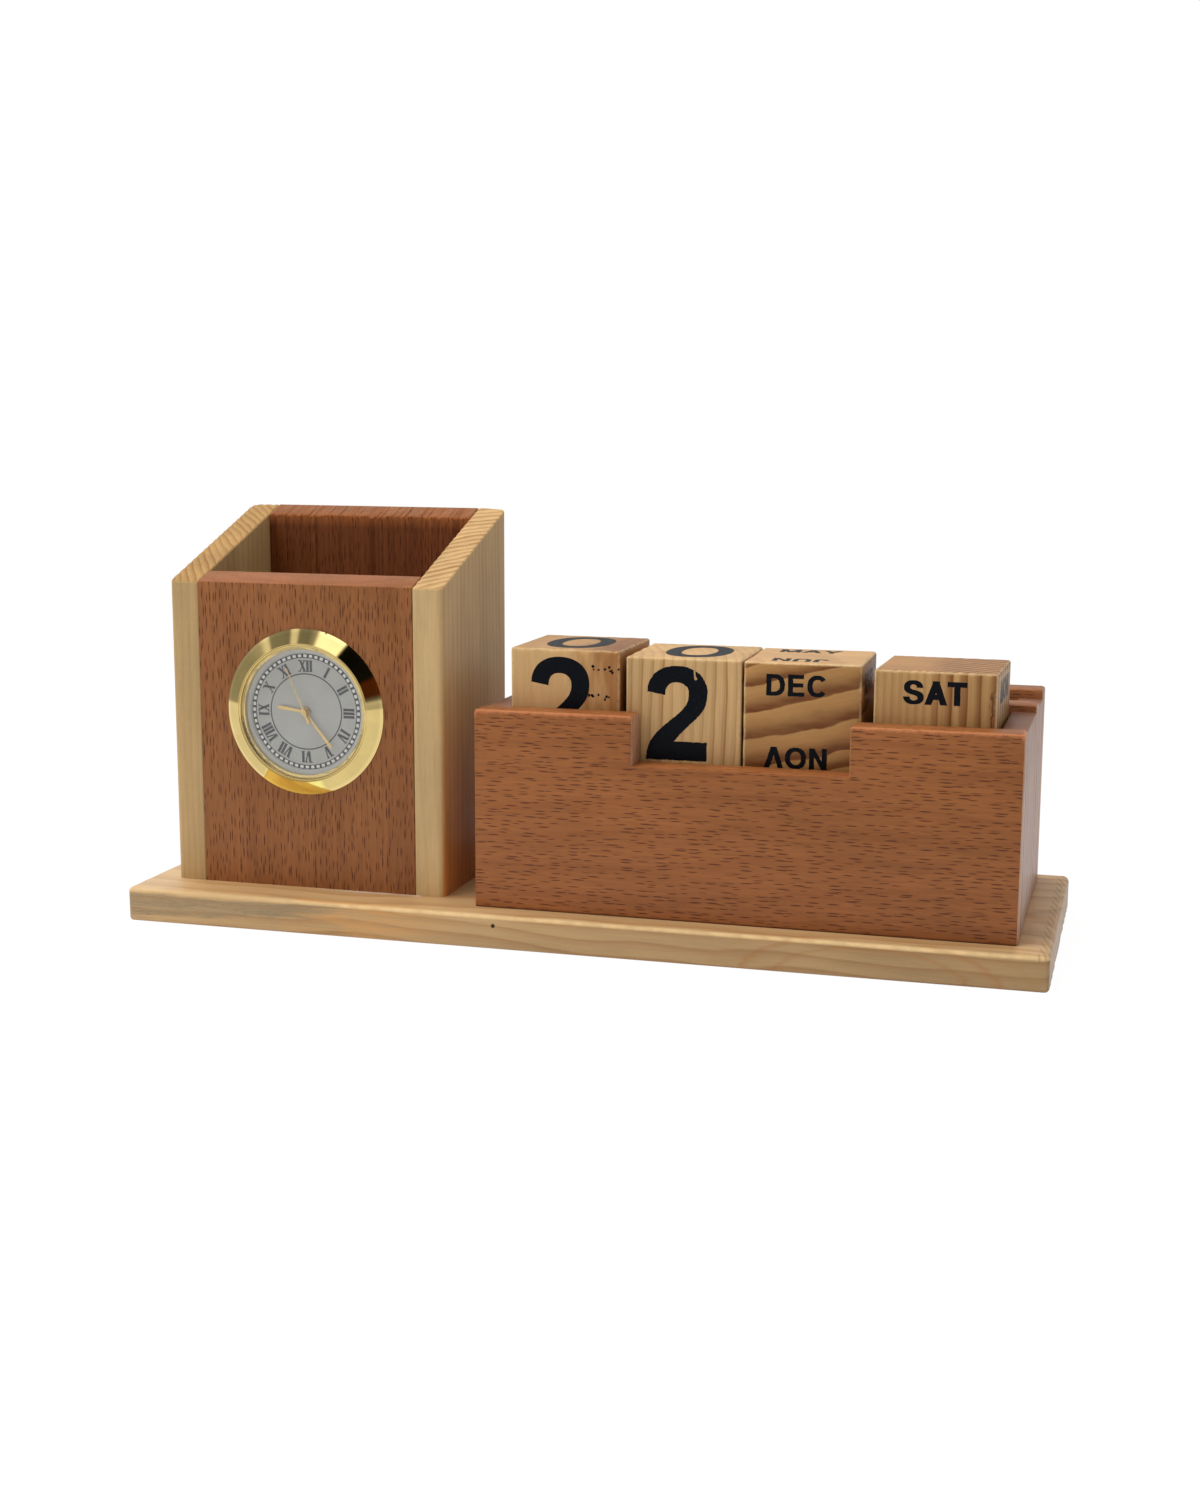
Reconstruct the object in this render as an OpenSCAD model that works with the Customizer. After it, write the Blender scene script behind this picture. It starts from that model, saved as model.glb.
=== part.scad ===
// Desk clock with a pen cup, a card slot and four loose calendar blocks on one base board.
// +X runs along the base to the reader's right, -Y faces the reader, +Z is up.
// The origin is the centre of the base board's underside. Lengths are in millimetres.

/* [Base board] */
// Thickness of the base board
base_t = 7.7; // [6:0.1:12]
// Base left bare at the left of the pen cup
margin_left = 7; // [3:0.5:20]
// Base left bare at the right of the calendar tray
margin_right = 7; // [3:0.5:20]
// Base left bare in front of the calendar tray
margin_front = 6; // [4:0.5:20]
// Base left bare behind the calendar tray
margin_back = 4; // [3:0.5:20]
// Round along the base's top edges
base_round = 2.4; // [1:0.1:3]
// Round on the base's upright corners
base_corner_r = 1.2; // [0.5:0.1:3]

/* [Pen cup] */
// Width of the pen cup
cup_w = 65.2; // [60:0.2:90]
// Depth of the pen cup, front to back
cup_d = 44.5; // [36:0.5:52]
// Height of the cup's front edge above the base
cup_front_h = 68.6; // [64:0.2:100]
// Height of the cup's back edge above the base
cup_back_h = 83.8; // [70:0.2:120]
// Distance of the cup's front behind the tray's front
cup_setback = 5.5; // [2:0.5:10]
// Thickness of the pine sides
side_t = 7; // [5:0.5:9]
// Thickness of the beech front, which holds the clock
cup_front_t = 6; // [5:0.1:6.6]
// Thickness of the beech back
cup_back_t = 6; // [4:0.5:9]
// Round on the cup's upright front corners
cup_front_r = 1.5; // [0.5:0.1:3]
// Round on the cup's upright back corners
cup_back_r = 2.2; // [0.5:0.1:3]

/* [Calendar tray] */
// Gap between the pen cup and the tray
cup_tray_gap = 8.9; // [4:0.1:20]
// Thickness of the tray's notched front
tray_front_t = 7; // [5:0.5:10]
// Thickness of the board between the blocks and the cards
tray_mid_t = 7.5; // [5:0.5:10]
// Thickness of the tray's back
tray_back_t = 8; // [5:0.5:10]
// Width of each end spacer
spacer_w = 5.5; // [4:0.5:10]
// Front to back opening of the card slot
card_slot_d = 13.5; // [8:0.5:25]
// Height of the tray's front above the base
tray_front_h = 43.5; // [41:0.5:50]
// How far the middle board stands above the front
mid_rise = 1; // [0:0.1:3]
// How far the back stands above the front
back_rise = 1.5; // [0:0.1:4]
// How far the spacers stay below the front
spacer_drop = 0.5; // [0:0.1:2]
// Width of the notch in the tray's front
notch_w = 46; // [20:1:70]
// Depth of the notch in the tray's front
notch_h = 10.5; // [5:0.5:12]
// Height of the blocks' shelf above the base
shelf_h = 30.1; // [20:0.1:31]
// Thickness of the blocks' shelf
shelf_t = 5; // [3:0.5:8]

/* [Calendar blocks] */
// Nominal edge of a calendar block
block_size = 25; // [20:0.5:32]
// Front to back play of a block in its slot
block_play = 2; // [1.5:0.1:4]
// Round on the blocks' edges
block_round = 0.7; // [0.3:0.1:2]

/* [Clock insert] */
// Height of the clock's centre above the base
clock_h = 40.2; // [30:0.1:44]
// Outer diameter of the gold bezel
bezel_d = 37.5; // [36:0.1:44]
// How far the bezel's crest stands proud of the wood
bezel_proud = 2.1; // [1.9:0.1:4]
// Diameter of the bore in the cup's front
bore_d = 33.4; // [33.2:0.1:33.8]
// Outer diameter of the clock case
case_d = 31.8; // [31.6:0.1:32]
// Depth of the clock case behind the wood's face
case_depth = 7.2; // [7:0.1:12]
// Diameter of the opening that shows the dial
window_d = 28.3; // [27.6:0.1:28.8]
// Diameter of the watch movement
movement_d = 19.5; // [19.4:0.1:20.4]
/* [Hands] */
// Where the hour hand stands, in degrees clockwise from twelve
hour_angle = 277.5; // [0:0.5:360]
// Where the minute hand stands
minute_angle = 141; // [0:0.5:360]
// Where the second hand stands
second_angle = 337; // [0:0.5:360]
// Length of the hour hand from the centre
hour_hand_l = 6.9; // [5:0.1:8]
// Length of the minute hand from the centre
minute_hand_l = 10.2; // [8:0.1:12]
// Length of the second hand from the centre
second_hand_l = 10.6; // [8:0.1:12]
// Length of the second hand's tail
second_tail_l = 2.7; // [1.5:0.1:4]

/* [Fasteners] */
// Diameter of the wood screws under the base
screw_d = 2.6; // [2:0.1:3.2]
// Diameter of their countersunk heads
screw_head_d = 5; // [4:0.1:6]
// Length of the wood screws
screw_l = 18; // [14:1:24]

/* [Hidden] */
$fn = 64;
cut = 0.5;                  // how far a cutting shape runs past the face that it cuts

// Hand-cut deviation of each block from the nominal edge: width, depth, height
block_cut = [[-0.5, 0.3, 1.1], [0.1, 0.1, 0.1], [-0.1, -0.3, 0], [0.4, -0.2, -0.7]];
// Turn of each block as it was put down, in degrees
block_yaw = [-0.5, 0.8, 1.2, -1.4];
// Gap before each block, and after the last
block_gap = [0.53, 1.07, 0.39, 2.96, 0.55];

function block_dims(i) = [for (k = [0:2]) block_size + block_cut[i][k]];
function sum(list, count) = count == 0 ? 0 : list[count - 1] + sum(list, count - 1);
block_widths = [for (i = [0:3]) block_dims(i)[0]];

// Plan of the whole object
tray_inner_l = sum(block_widths, 4) + sum(block_gap, 5);
tray_l = tray_inner_l + 2 * spacer_w;
block_slot_d = block_size + block_play;
tray_d = tray_front_t + block_slot_d + tray_mid_t + card_slot_d + tray_back_t;
base_l = margin_left + cup_w + cup_tray_gap + tray_l + margin_right;
base_d = margin_front + tray_d + margin_back;
cup_x = -base_l / 2 + margin_left;
tray_x = cup_x + cup_w + cup_tray_gap;
tray_y = -base_d / 2 + margin_front;
cup_y = tray_y + cup_setback;
mid_y = tray_y + tray_front_t + block_slot_d;
slot_y = mid_y + tray_mid_t;
tray_back_y = slot_y + card_slot_d;
notch_x = tray_x + (tray_l - notch_w) / 2;
spacer_h = tray_front_h - spacer_drop;

// Screws: one up into each cup side, two into the tray's front and two into its back
screw_core_r = screw_d / 2;
screw_sink = 0.4;           // the heads stay this far inside the base
cross_l = 0.56 * screw_head_d;
cross_w = 0.1 * screw_head_d;
cross_deep = 0.18 * screw_head_d;
screw_places = [
    [cup_x + side_t / 2, cup_y + cup_d / 2],
    [cup_x + cup_w - side_t / 2, cup_y + cup_d / 2],
    for (share = [0.2, 0.8], y = [tray_y + tray_front_t / 2, tray_back_y + tray_back_t / 2])
        [tray_x + tray_l * share, y]
];

// Clock levels, measured forward from the face of the cup's front
clock_x = cup_x + cup_w / 2;
clock_z = base_t + clock_h;
bezel_r = bezel_d / 2;
case_r = case_d / 2;
case_wall = 1;
case_in_r = case_r - case_wall;
skirt_t = 0.45;             // wall of the bezel's skirt round the case
skirt_l = 1.2;
window_r = window_d / 2;
dial_z = -0.35;
dial_t = 0.4;
dial_back_z = dial_z - dial_t;
dial_hole_r = 1.1;
ring_top_z = 0.1;
ring_r = 13.35;             // inside of the white ring round the dial
lens_z = 1.3;
lens_t = 0.6;
lens_r = 14.8;
crest_r = 15.35;
rim_t = 0.5;                // height of the bezel's straight outer edge
holder_back_z = -(case_depth - 0.8);
cover_t = 0.8;
cover_r = 10.55;
grip_play = 0.05;           // rubber band to bore, at rest
grip_r = bore_d / 2 - grip_play;
ridges = 3;
ridge_w = 0.7;
groove_w = 0.45;
groove_d = 0.3;
grip_front = 2;
grip_back = grip_front + ridges * ridge_w + (ridges - 1) * groove_w;

// Movement levels and radii
plate_r = movement_d / 2;
plate_wall = 0.6;
plate_front_z = -1.5;
plate_back_z = -2.3;
plate_end_z = -4.6;
bridge_z = -4.2;
bridge_t = 0.25;
pivot_r = 0.12;
pivot_hole_r = 0.16;
run = 0.06;                 // running clearance round the three hand arbors
seconds_r = 0.2;
cannon_r = 0.46;
pipe_r = 0.82;
hand_t = 0.12;
hand_gap = 0.26;            // between one hand and the next
hour_hand_z = dial_z + 0.42;
minute_hand_z = hour_hand_z + hand_t + hand_gap;
second_hand_z = minute_hand_z + hand_t + hand_gap;

// Wheel train: tooth counts, and modules that follow from the centre distances
seconds_teeth = 40;
seconds_leaves = 8;
third_teeth = 60;
third_leaves = 8;
centre_teeth = 64;
fifth_teeth = 48;
fifth_leaves = 8;
rotor_leaves = 8;
cannon_leaves = 12;
minute_teeth = 36;
minute_leaves = 10;
hour_teeth = 40;
third_dist = 2.7;
fifth_dist = 2.7;
rotor_dist = 2.24;
minute_dist = 2.4;
third_dir = 100;
fifth_dir = 300;
rotor_dir = 330;
minute_dir = 40;
seconds_pinion_m = 2 * third_dist / (seconds_leaves + third_teeth);
centre_m = 2 * third_dist / (third_leaves + centre_teeth);
seconds_m = 2 * fifth_dist / (seconds_teeth + fifth_leaves);
rotor_m = 2 * rotor_dist / (fifth_teeth + rotor_leaves);
cannon_m = 2 * minute_dist / (cannon_leaves + minute_teeth);
hour_m = 2 * minute_dist / (minute_leaves + hour_teeth);
function polar(r, a) = [r * cos(a), r * sin(a)];
third_at = polar(third_dist, third_dir);
fifth_at = polar(fifth_dist, fifth_dir);
rotor_at = fifth_at + polar(rotor_dist, rotor_dir);
minute_at = polar(minute_dist, minute_dir);
magnet_r = 1.1;

// Places inside the movement
battery_at = [-5.2, -3.1];
battery_r = 3.4;
battery_front_z = -1.7;
battery_back_z = -4.3;
pillars = [[-3.8, 3.5], [4.6, 2.6], [-1, -4.6]];
clip_post = [-7.6, 2.2];
pillar_r = 0.6;
small_screw_r = 0.25;
small_head_r = 0.5;
small_head_t = 0.25;
coil_y = -6.8;
coil_from = -0.4;
coil_to = 5.6;
coil_r = 0.8;
stator_front_z = -2.7;
stator_t = 0.3;
board_pads = [[5.8, 4.6], [1, 7.4]];
board_front_z = -2.6;
board_t = 0.35;
crystal_r = 0.7;
crystal_l = 4.6;
crystal_dist = 7.2;
crystal_dir = 133;
stem_z = plate_back_z - 0.45;
stem_r = 0.3;
groove_r = 0.18;
lever_x = 6.42;
lever_t = 0.26;
lever_foot = -0.7;
lever_w = 2.7;                // its corner clears the circuit board when the crown is pulled
guide_x = 7.9;
crown_x = 11.5;
crown_l = 1.8;
crown_r = 1.45;

// ---- shared shapes ----

// A box from its low corner
module board(x, y, z, w, d, h) {
    translate([x, y, z]) cube([w, d, h]);
}

// A rectangle from the origin with its four corners rounded, kept as true arcs
module round_rect(w, d, r) {
    translate([r, 0]) square([w - 2 * r, d]);
    translate([0, r]) square([w, d - 2 * r]);
    for (x = [r, w - r], y = [r, d - r])
        translate([x, y]) circle(r);
}

// Moves what is drawn facing up in XY to the clock's centre, facing the reader
module at_clock() {
    translate([clock_x, cup_y, clock_z]) rotate([90, 0, 0]) children();
}

// A disc or ring between two levels in the clock's own frame
module ring(r, low, high, hole = 0) {
    translate([0, 0, low]) linear_extrude(high - low) difference() {
        circle(r);
        if (hole > 0) circle(hole);
    }
}

// Outline of a gear with straight-flanked teeth, one centred on the angle "first"
function gear_points(teeth, m, first) = [
    for (i = [0:teeth - 1], p = [[-0.27, -1.05], [-0.13, 0.8], [0.13, 0.8], [0.27, -1.05]])
        polar(teeth * m / 2 + p[1] * m, first + (i + p[0]) * 360 / teeth)
];

// A gear or pinion between two levels, with its bore
module gear(teeth, m, low, high, bore_r, first) {
    translate([0, 0, low]) linear_extrude(high - low) difference() {
        polygon(gear_points(teeth, m, first));
        circle(bore_r);
    }
}

// Angle at which a gear of "teeth" has a gap towards a neighbour in direction "dir"
function gap_towards(teeth, dir) = dir + 180 / teeth;

// ---- base ----

module wood_screw() {
    rotate_extrude() polygon([
        [0, screw_sink], [screw_head_d / 2, screw_sink],
        [screw_core_r, screw_sink + (screw_head_d - screw_d) / 2],
        [screw_core_r, screw_l - 2 * screw_core_r], [0, screw_l]
    ]);
}

module screw_hole() {
    translate([0, 0, -cut]) cylinder(r = screw_head_d / 2, h = screw_sink + cut);
    rotate_extrude() polygon([
        [0, screw_sink], [screw_head_d / 2, screw_sink],
        [screw_core_r, screw_sink + (screw_head_d - screw_d) / 2],
        [screw_core_r, screw_l - 2 * screw_core_r], [0, screw_l]
    ]);
}

module at_screws() {
    for (p = screw_places) translate([p[0], p[1], 0]) children();
}

// Cross-slot in a screw head, cut from below
module cross_slot() {
    for (turn = [0, 90]) rotate([0, 0, turn])
        translate([-cross_l / 2, -cross_w / 2, screw_sink - cut])
            cube([cross_l, cross_w, cut + cross_deep]);
}

module base_screws() {
    color("silver") at_screws() difference() {
        wood_screw();
        cross_slot();
    }
}

// Section of the base with both top edges rounded, "l" long
module base_section(l, h, r) {
    square([l, h - r]);
    translate([r, 0]) square([l - 2 * r, h]);
    for (x = [r, l - r]) translate([x, h - r]) circle(r);
}

module base_board() {
    color("burlywood") difference() {
        intersection() {
            translate([-base_l / 2, -base_d / 2, 0]) linear_extrude(base_t)
                round_rect(base_l, base_d, base_corner_r);
            translate([-base_l / 2, base_d / 2 + cut, 0]) rotate([90, 0, 0])
                linear_extrude(base_d + 2 * cut) base_section(base_l, base_t, base_round);
            translate([-base_l / 2 - cut, -base_d / 2, 0]) rotate([90, 0, 90])
                linear_extrude(base_l + 2 * cut) base_section(base_d, base_t, base_round);
        }
        at_screws() screw_hole();
    }
}

// ---- pen cup ----

// Everything below the cup's slanted rim
module under_rim() {
    translate([cup_x - cut, cup_y, base_t]) rotate([90, 0, 90]) linear_extrude(cup_w + 2 * cut)
        polygon([[0, 0], [cup_d, 0], [cup_d, cup_back_h], [0, cup_front_h]]);
}

// Plan of the left side, with its two outer corners rounded
module side_plan() {
    translate([cup_back_r, 0]) square([side_t - cup_back_r, cup_d]);
    translate([0, cup_front_r]) square([side_t, cup_d - cup_front_r - cup_back_r]);
    translate([cup_front_r, 0]) square([side_t - cup_front_r, cup_back_r]);
    translate([cup_front_r, cup_front_r]) circle(cup_front_r);
    translate([cup_back_r, cup_d - cup_back_r]) circle(cup_back_r);
}

module side_board() {
    linear_extrude(cup_back_h) side_plan();
}

module cup_left_side() {
    color("wheat") difference() {
        intersection() {
            translate([cup_x, cup_y, base_t]) side_board();
            under_rim();
        }
        at_screws() screw_hole();
    }
}

module cup_right_side() {
    color("wheat") difference() {
        intersection() {
            translate([cup_x + cup_w, cup_y, base_t]) mirror([1, 0, 0]) side_board();
            under_rim();
        }
        at_screws() screw_hole();
    }
}

module cup_front_panel() {
    color("sienna") difference() {
        intersection() {
            board(cup_x + side_t, cup_y, base_t, cup_w - 2 * side_t, cup_front_t, cup_back_h);
            under_rim();
        }
        at_clock() translate([0, 0, -cup_front_t - cut])
            cylinder(d = bore_d, h = cup_front_t + 2 * cut);
    }
}

module cup_back_panel() {
    color("sienna") intersection() {
        board(cup_x + side_t, cup_y + cup_d - cup_back_t, base_t,
            cup_w - 2 * side_t, cup_back_t, cup_back_h);
        under_rim();
    }
}

// ---- calendar tray ----

module tray_front_panel() {
    color("peru") difference() {
        board(tray_x, tray_y, base_t, tray_l, tray_front_t, tray_front_h);
        board(notch_x, tray_y - cut, base_t + tray_front_h - notch_h,
            notch_w, tray_front_t + 2 * cut, notch_h + cut);
        at_screws() screw_hole();
    }
}

module tray_middle_panel() {
    color("peru") board(tray_x, mid_y, base_t, tray_l, tray_mid_t, tray_front_h + mid_rise);
}

module tray_back_panel() {
    color("peru") difference() {
        board(tray_x, tray_back_y, base_t, tray_l, tray_back_t, tray_front_h + back_rise);
        at_screws() screw_hole();
    }
}

module spacer(x, y, d) {
    color("sienna") board(x, y, base_t, spacer_w, d, spacer_h);
}

module left_front_spacer() {
    spacer(tray_x, tray_y + tray_front_t, block_slot_d);
}

module right_front_spacer() {
    spacer(tray_x + tray_l - spacer_w, tray_y + tray_front_t, block_slot_d);
}

module left_rear_spacer() {
    spacer(tray_x, slot_y, card_slot_d);
}

module right_rear_spacer() {
    spacer(tray_x + tray_l - spacer_w, slot_y, card_slot_d);
}

module block_shelf() {
    color("burlywood") board(tray_x + spacer_w, tray_y + tray_front_t,
        base_t + shelf_h - shelf_t, tray_inner_l, block_slot_d, shelf_t);
}

// ---- calendar blocks ----

// A block with all its edges rounded, centred on its own upright axis
module rounded_block(w, d, h, r) {
    intersection() {
        translate([-w / 2, -d / 2, 0]) linear_extrude(h) round_rect(w, d, r);
        translate([-w / 2, d / 2 + cut, 0]) rotate([90, 0, 0])
            linear_extrude(d + 2 * cut) round_rect(w, h, r);
        translate([-w / 2 - cut, -d / 2, 0]) rotate([90, 0, 90])
            linear_extrude(w + 2 * cut) round_rect(d, h, r);
    }
}

// Block number i, standing on the shelf
module calendar_block(i) {
    size = block_dims(i);
    x = tray_x + spacer_w + sum(block_gap, i + 1) + sum(block_widths, i) + size[0] / 2;
    color("navajowhite")
        translate([x, tray_y + tray_front_t + block_slot_d / 2, base_t + shelf_h])
            rotate([0, 0, block_yaw[i]]) rounded_block(size[0], size[1], size[2], block_round);
}

module tens_block() {
    calendar_block(0);
}

module units_block() {
    calendar_block(1);
}

module month_block() {
    calendar_block(2);
}

module weekday_block() {
    calendar_block(3);
}

// ---- clock insert: case and dial ----

module clock_bezel() {
    color("gold") at_clock() rotate_extrude() polygon([
        [bezel_r, 0], [bezel_r, rim_t], [crest_r, bezel_proud], [crest_r - 0.25, bezel_proud],
        [lens_r, lens_z + lens_t], [lens_r, lens_z], [window_r, lens_z],
        [window_r, ring_top_z], [case_r, ring_top_z], [case_r, -skirt_l],
        [case_r + skirt_t, -skirt_l], [case_r + skirt_t, 0]
    ]);
}

module clock_lens() {
    color("lightcyan", 0.4) at_clock() ring(lens_r, lens_z, lens_z + lens_t);
}

module clock_case() {
    color("dimgray") at_clock() {
        ring(case_r, -case_depth, ring_top_z, case_in_r);
        ring(case_in_r + case_wall / 2, -case_depth, holder_back_z, case_in_r - 1.6);
    }
}

// Rubber band with grooves between its ridges, which grips the bore
module grip_ring() {
    color("dimgray") at_clock() difference() {
        ring(grip_r, -grip_back, -grip_front, case_r);
        for (i = [1:ridges - 1])
            translate([0, 0, -grip_front - i * (ridge_w + groove_w)])
                ring(grip_r + cut, 0, groove_w, grip_r - groove_d);
    }
}

module dial_ring() {
    color("white") at_clock() ring(case_in_r, dial_z, ring_top_z, ring_r);
}

module dial() {
    color("whitesmoke") at_clock() ring(case_in_r, dial_back_z, dial_z, dial_hole_r);
}

module movement_holder() {
    pocket_from = cover_r + 0.35;
    color("gray") at_clock() difference() {
        ring(case_in_r, holder_back_z, dial_back_z, plate_r);
        ring(cover_r, holder_back_z - cut, holder_back_z + cover_t);
        board(pocket_from, -2.2, holder_back_z - cut,
            case_in_r - pocket_from + cut, 4.4, -holder_back_z - 1.2 + cut);
        translate([plate_r - cut, 0, stem_z]) rotate([0, 90, 0])
            cylinder(r = stem_r + 0.15, h = 4);
    }
}

// Snap-in cover with a rim that seats the movement, and a notch to pry it off
module back_cover() {
    color("silver") at_clock() difference() {
        union() {
            ring(cover_r, holder_back_z, holder_back_z + cover_t);
            ring(plate_r, holder_back_z + cover_t - 0.2, plate_end_z, plate_r - plate_wall);
        }
        board(-1.5, -cover_r - cut, holder_back_z - cut, 3, 1.1 + cut, cut + 0.4);
    }
}

// ---- movement: fixed parts ----

module main_plate() {
    color("goldenrod") at_clock() difference() {
        union() {
            ring(plate_r, plate_back_z, plate_front_z);
            ring(plate_r, plate_front_z, dial_back_z, plate_r - plate_wall);
            ring(plate_r, plate_end_z, plate_back_z, plate_r - plate_wall);
            for (p = pillars) translate(p) ring(pillar_r, bridge_z + bridge_t, plate_back_z);
            translate(clip_post) ring(pillar_r, battery_back_z, plate_back_z);
            for (x = [coil_from + 0.4, coil_to - 0.4])
                translate([x, coil_y]) ring(0.35, stator_front_z, plate_back_z);
            for (p = board_pads) translate(p) ring(0.5, board_front_z, plate_back_z);
            translate(minute_at) ring(0.15, plate_front_z, dial_back_z - 0.05);
            board(guide_x, -0.9, stem_z - 0.55, plate_r - plate_wall / 2 - guide_x, 1.8,
                plate_back_z - stem_z + 0.55);
        }
        ring(cannon_r + run, plate_back_z - cut, plate_front_z + cut);
        translate(battery_at) ring(battery_r + 0.1, plate_end_z, battery_front_z);
        for (p = [third_at, fifth_at, rotor_at])
            translate(p) ring(pivot_hole_r, plate_back_z - cut, plate_back_z + 0.5);
        for (p = pillars) translate(p) ring(small_screw_r, bridge_z, plate_back_z - 0.4);
        translate(clip_post) ring(small_screw_r, battery_back_z - cut, plate_back_z - 0.4);
        translate([guide_x - cut, 0, stem_z]) rotate([0, 90, 0])
            cylinder(r = stem_r + run, h = 3);
    }
}

module train_bridge() {
    color("khaki") at_clock() translate([0, 0, bridge_z]) linear_extrude(bridge_t) difference() {
        polygon([[-4.9, 3.4], [-4.2, 4.7], [5, 3.9], [5.6, 2.4], [4.8, -3.6], [3.4, -4.9],
            [-1, -5.6], [-2.2, -4.6]]);
        translate(battery_at) circle(battery_r + 0.2);
        circle(seconds_r + run);
        for (p = [third_at, fifth_at, rotor_at]) translate(p) circle(pivot_hole_r);
        for (p = pillars) translate(p) circle(small_screw_r);
    }
}

// Small slotted screw with its head's underside at level z, its shank running forward
module small_screw(z, l) {
    difference() {
        union() {
            ring(small_head_r, z - small_head_t, z);
            ring(small_screw_r, z - small_head_t / 2, z + l);
        }
        board(-small_head_r, -0.06, z - small_head_t - cut, 2 * small_head_r, 0.12, cut + 0.12);
    }
}

module movement_screws() {
    color("silver") at_clock() {
        for (p = pillars) translate(p) small_screw(bridge_z, 1.2);
        translate(clip_post) small_screw(battery_back_z - 0.2, 1.2);
    }
}

module battery() {
    color("lightsteelblue") at_clock() translate(battery_at) {
        ring(battery_r - 0.5, battery_front_z - 0.4, battery_front_z);
        ring(battery_r, battery_back_z, battery_front_z - 0.4);
    }
}

module battery_clip() {
    reach = battery_at - clip_post;
    color("silver") at_clock() translate([clip_post[0], clip_post[1], battery_back_z - 0.2])
        linear_extrude(0.2) difference() {
            union() {
                rotate(atan2(reach[1], reach[0])) translate([0, -0.6])
                    square([norm(reach), 1.2]);
                circle(0.6);
                translate(reach) circle(1.3);
            }
            circle(small_screw_r);
        }
}

module coil_core_bar() {
    board(coil_from, coil_y - 0.4, stator_front_z - 2 * stator_t,
        coil_to - coil_from, 0.8, stator_t);
}

module coil_core() {
    color("gray") at_clock() coil_core_bar();
}

module coil_winding() {
    color("chocolate") at_clock() difference() {
        translate([coil_from + 1, coil_y, plate_back_z - coil_r]) rotate([0, 90, 0])
            cylinder(r = coil_r, h = coil_to - coil_from - 2);
        coil_core_bar();
        board(coil_from, coil_y - 0.4, stator_front_z - stator_t,
            coil_to - coil_from, 0.8, stator_t);
    }
}

// One arm of the stator, from the rotor to an end of the coil
module stator_arm(from, to, w) {
    step = to - from;
    translate(from) rotate(atan2(step[1], step[0])) translate([0, -w / 2])
        square([norm(step), w]);
    translate(to) circle(w / 2);
}

module stator() {
    color("gray") at_clock() translate([0, 0, stator_front_z - stator_t])
        linear_extrude(stator_t) difference() {
            union() {
                translate(rotor_at) circle(magnet_r + 0.9);
                stator_arm(rotor_at, [coil_from + 0.4, coil_y], 0.9);
                stator_arm(rotor_at, [coil_to - 0.4, coil_y], 0.9);
            }
            translate(rotor_at) circle(magnet_r + 0.2);
            translate(fifth_at) circle(0.5);
            translate([coil_from + 0.9, coil_y - 0.9])
                square([coil_to - coil_from - 1.8, 1.8]);
        }
}

module circuit_board() {
    color("seagreen") at_clock() translate([0, 0, board_front_z - board_t])
        linear_extrude(board_t) polygon([[3.6, 4.4], [8.2, 1.6], [8.6, 2.4], [6.6, 6],
            [3.4, 8], [-0.5, 8.6], [-1, 6.4], [2.2, 5.6]]);
}

module timing_chip() {
    color("dimgray") at_clock()
        board(3.4, 5.4, board_front_z - board_t - 0.5, 1.6, 1.6, 0.5);
}

module quartz_crystal() {
    middle = polar(crystal_dist, crystal_dir);
    color("silver") at_clock() translate([middle[0], middle[1], plate_back_z - crystal_r])
        rotate([0, 0, crystal_dir + 90]) rotate([0, 90, 0])
            cylinder(r = crystal_r, h = crystal_l, center = true);
}

// ---- hands and wheels ----

// A hand that widens to its shoulder and ends in a short point, before it is turned.
// A hand with a tail widens behind its boss as well.
module pointed_hand(l, root_w, wide_w, boss_r, hole_r, tail = 0, tail_w = 0) {
    point_l = wide_w * 0.9;
    blade = [[root_w / 2, 0], [wide_w / 2, l - point_l], [0.05, l],
        [-0.05, l], [-wide_w / 2, l - point_l], [-root_w / 2, 0]];
    rear = tail > 0 ? [[-tail_w / 2, -tail], [tail_w / 2, -tail]] : [];
    difference() {
        union() {
            polygon(concat(blade, rear));
            circle(boss_r);
        }
        circle(hole_r);
    }
}

// Turns a flat hand clockwise from twelve and lifts it to its level
module place_hand(angle, z) {
    at_clock() translate([0, 0, z]) rotate([0, 0, -angle]) linear_extrude(hand_t) children();
}

module second_hand() {
    color("goldenrod") place_hand(second_angle, second_hand_z)
        pointed_hand(second_hand_l, 0.28, 0.2, 0.55, seconds_r, second_tail_l, 0.8);
}

module minute_hand() {
    color("goldenrod") place_hand(minute_angle, minute_hand_z)
        pointed_hand(minute_hand_l, 0.42, 0.66, 0.75, cannon_r);
}

module hour_hand() {
    color("goldenrod") place_hand(hour_angle, hour_hand_z)
        pointed_hand(hour_hand_l, 0.55, 0.8, 1.05, pipe_r);
}

// Arbor with its two pivots, between the plate and the bridge
module train_arbor() {
    ring(pivot_r, bridge_z + 0.02, plate_back_z + 0.45);
}

module seconds_wheel() {
    color("gold") at_clock() {
        ring(seconds_r, bridge_z + 0.02, second_hand_z + hand_t);
        gear(seconds_teeth, seconds_m, -3.55, -3.35, seconds_r / 2, fifth_dir);
        gear(seconds_leaves, seconds_pinion_m, -3.4, -2.95, seconds_r / 2, third_dir);
    }
}

module centre_wheel() {
    color("gold") at_clock() {
        ring(cannon_r, -2.75, minute_hand_z + hand_t, seconds_r + run);
        gear(centre_teeth, centre_m, -2.75, -2.55, cannon_r - 0.05,
            gap_towards(centre_teeth, third_dir));
        gear(cannon_leaves, cannon_m, -1.45, -1.2, cannon_r - 0.05, minute_dir);
    }
}

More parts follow.
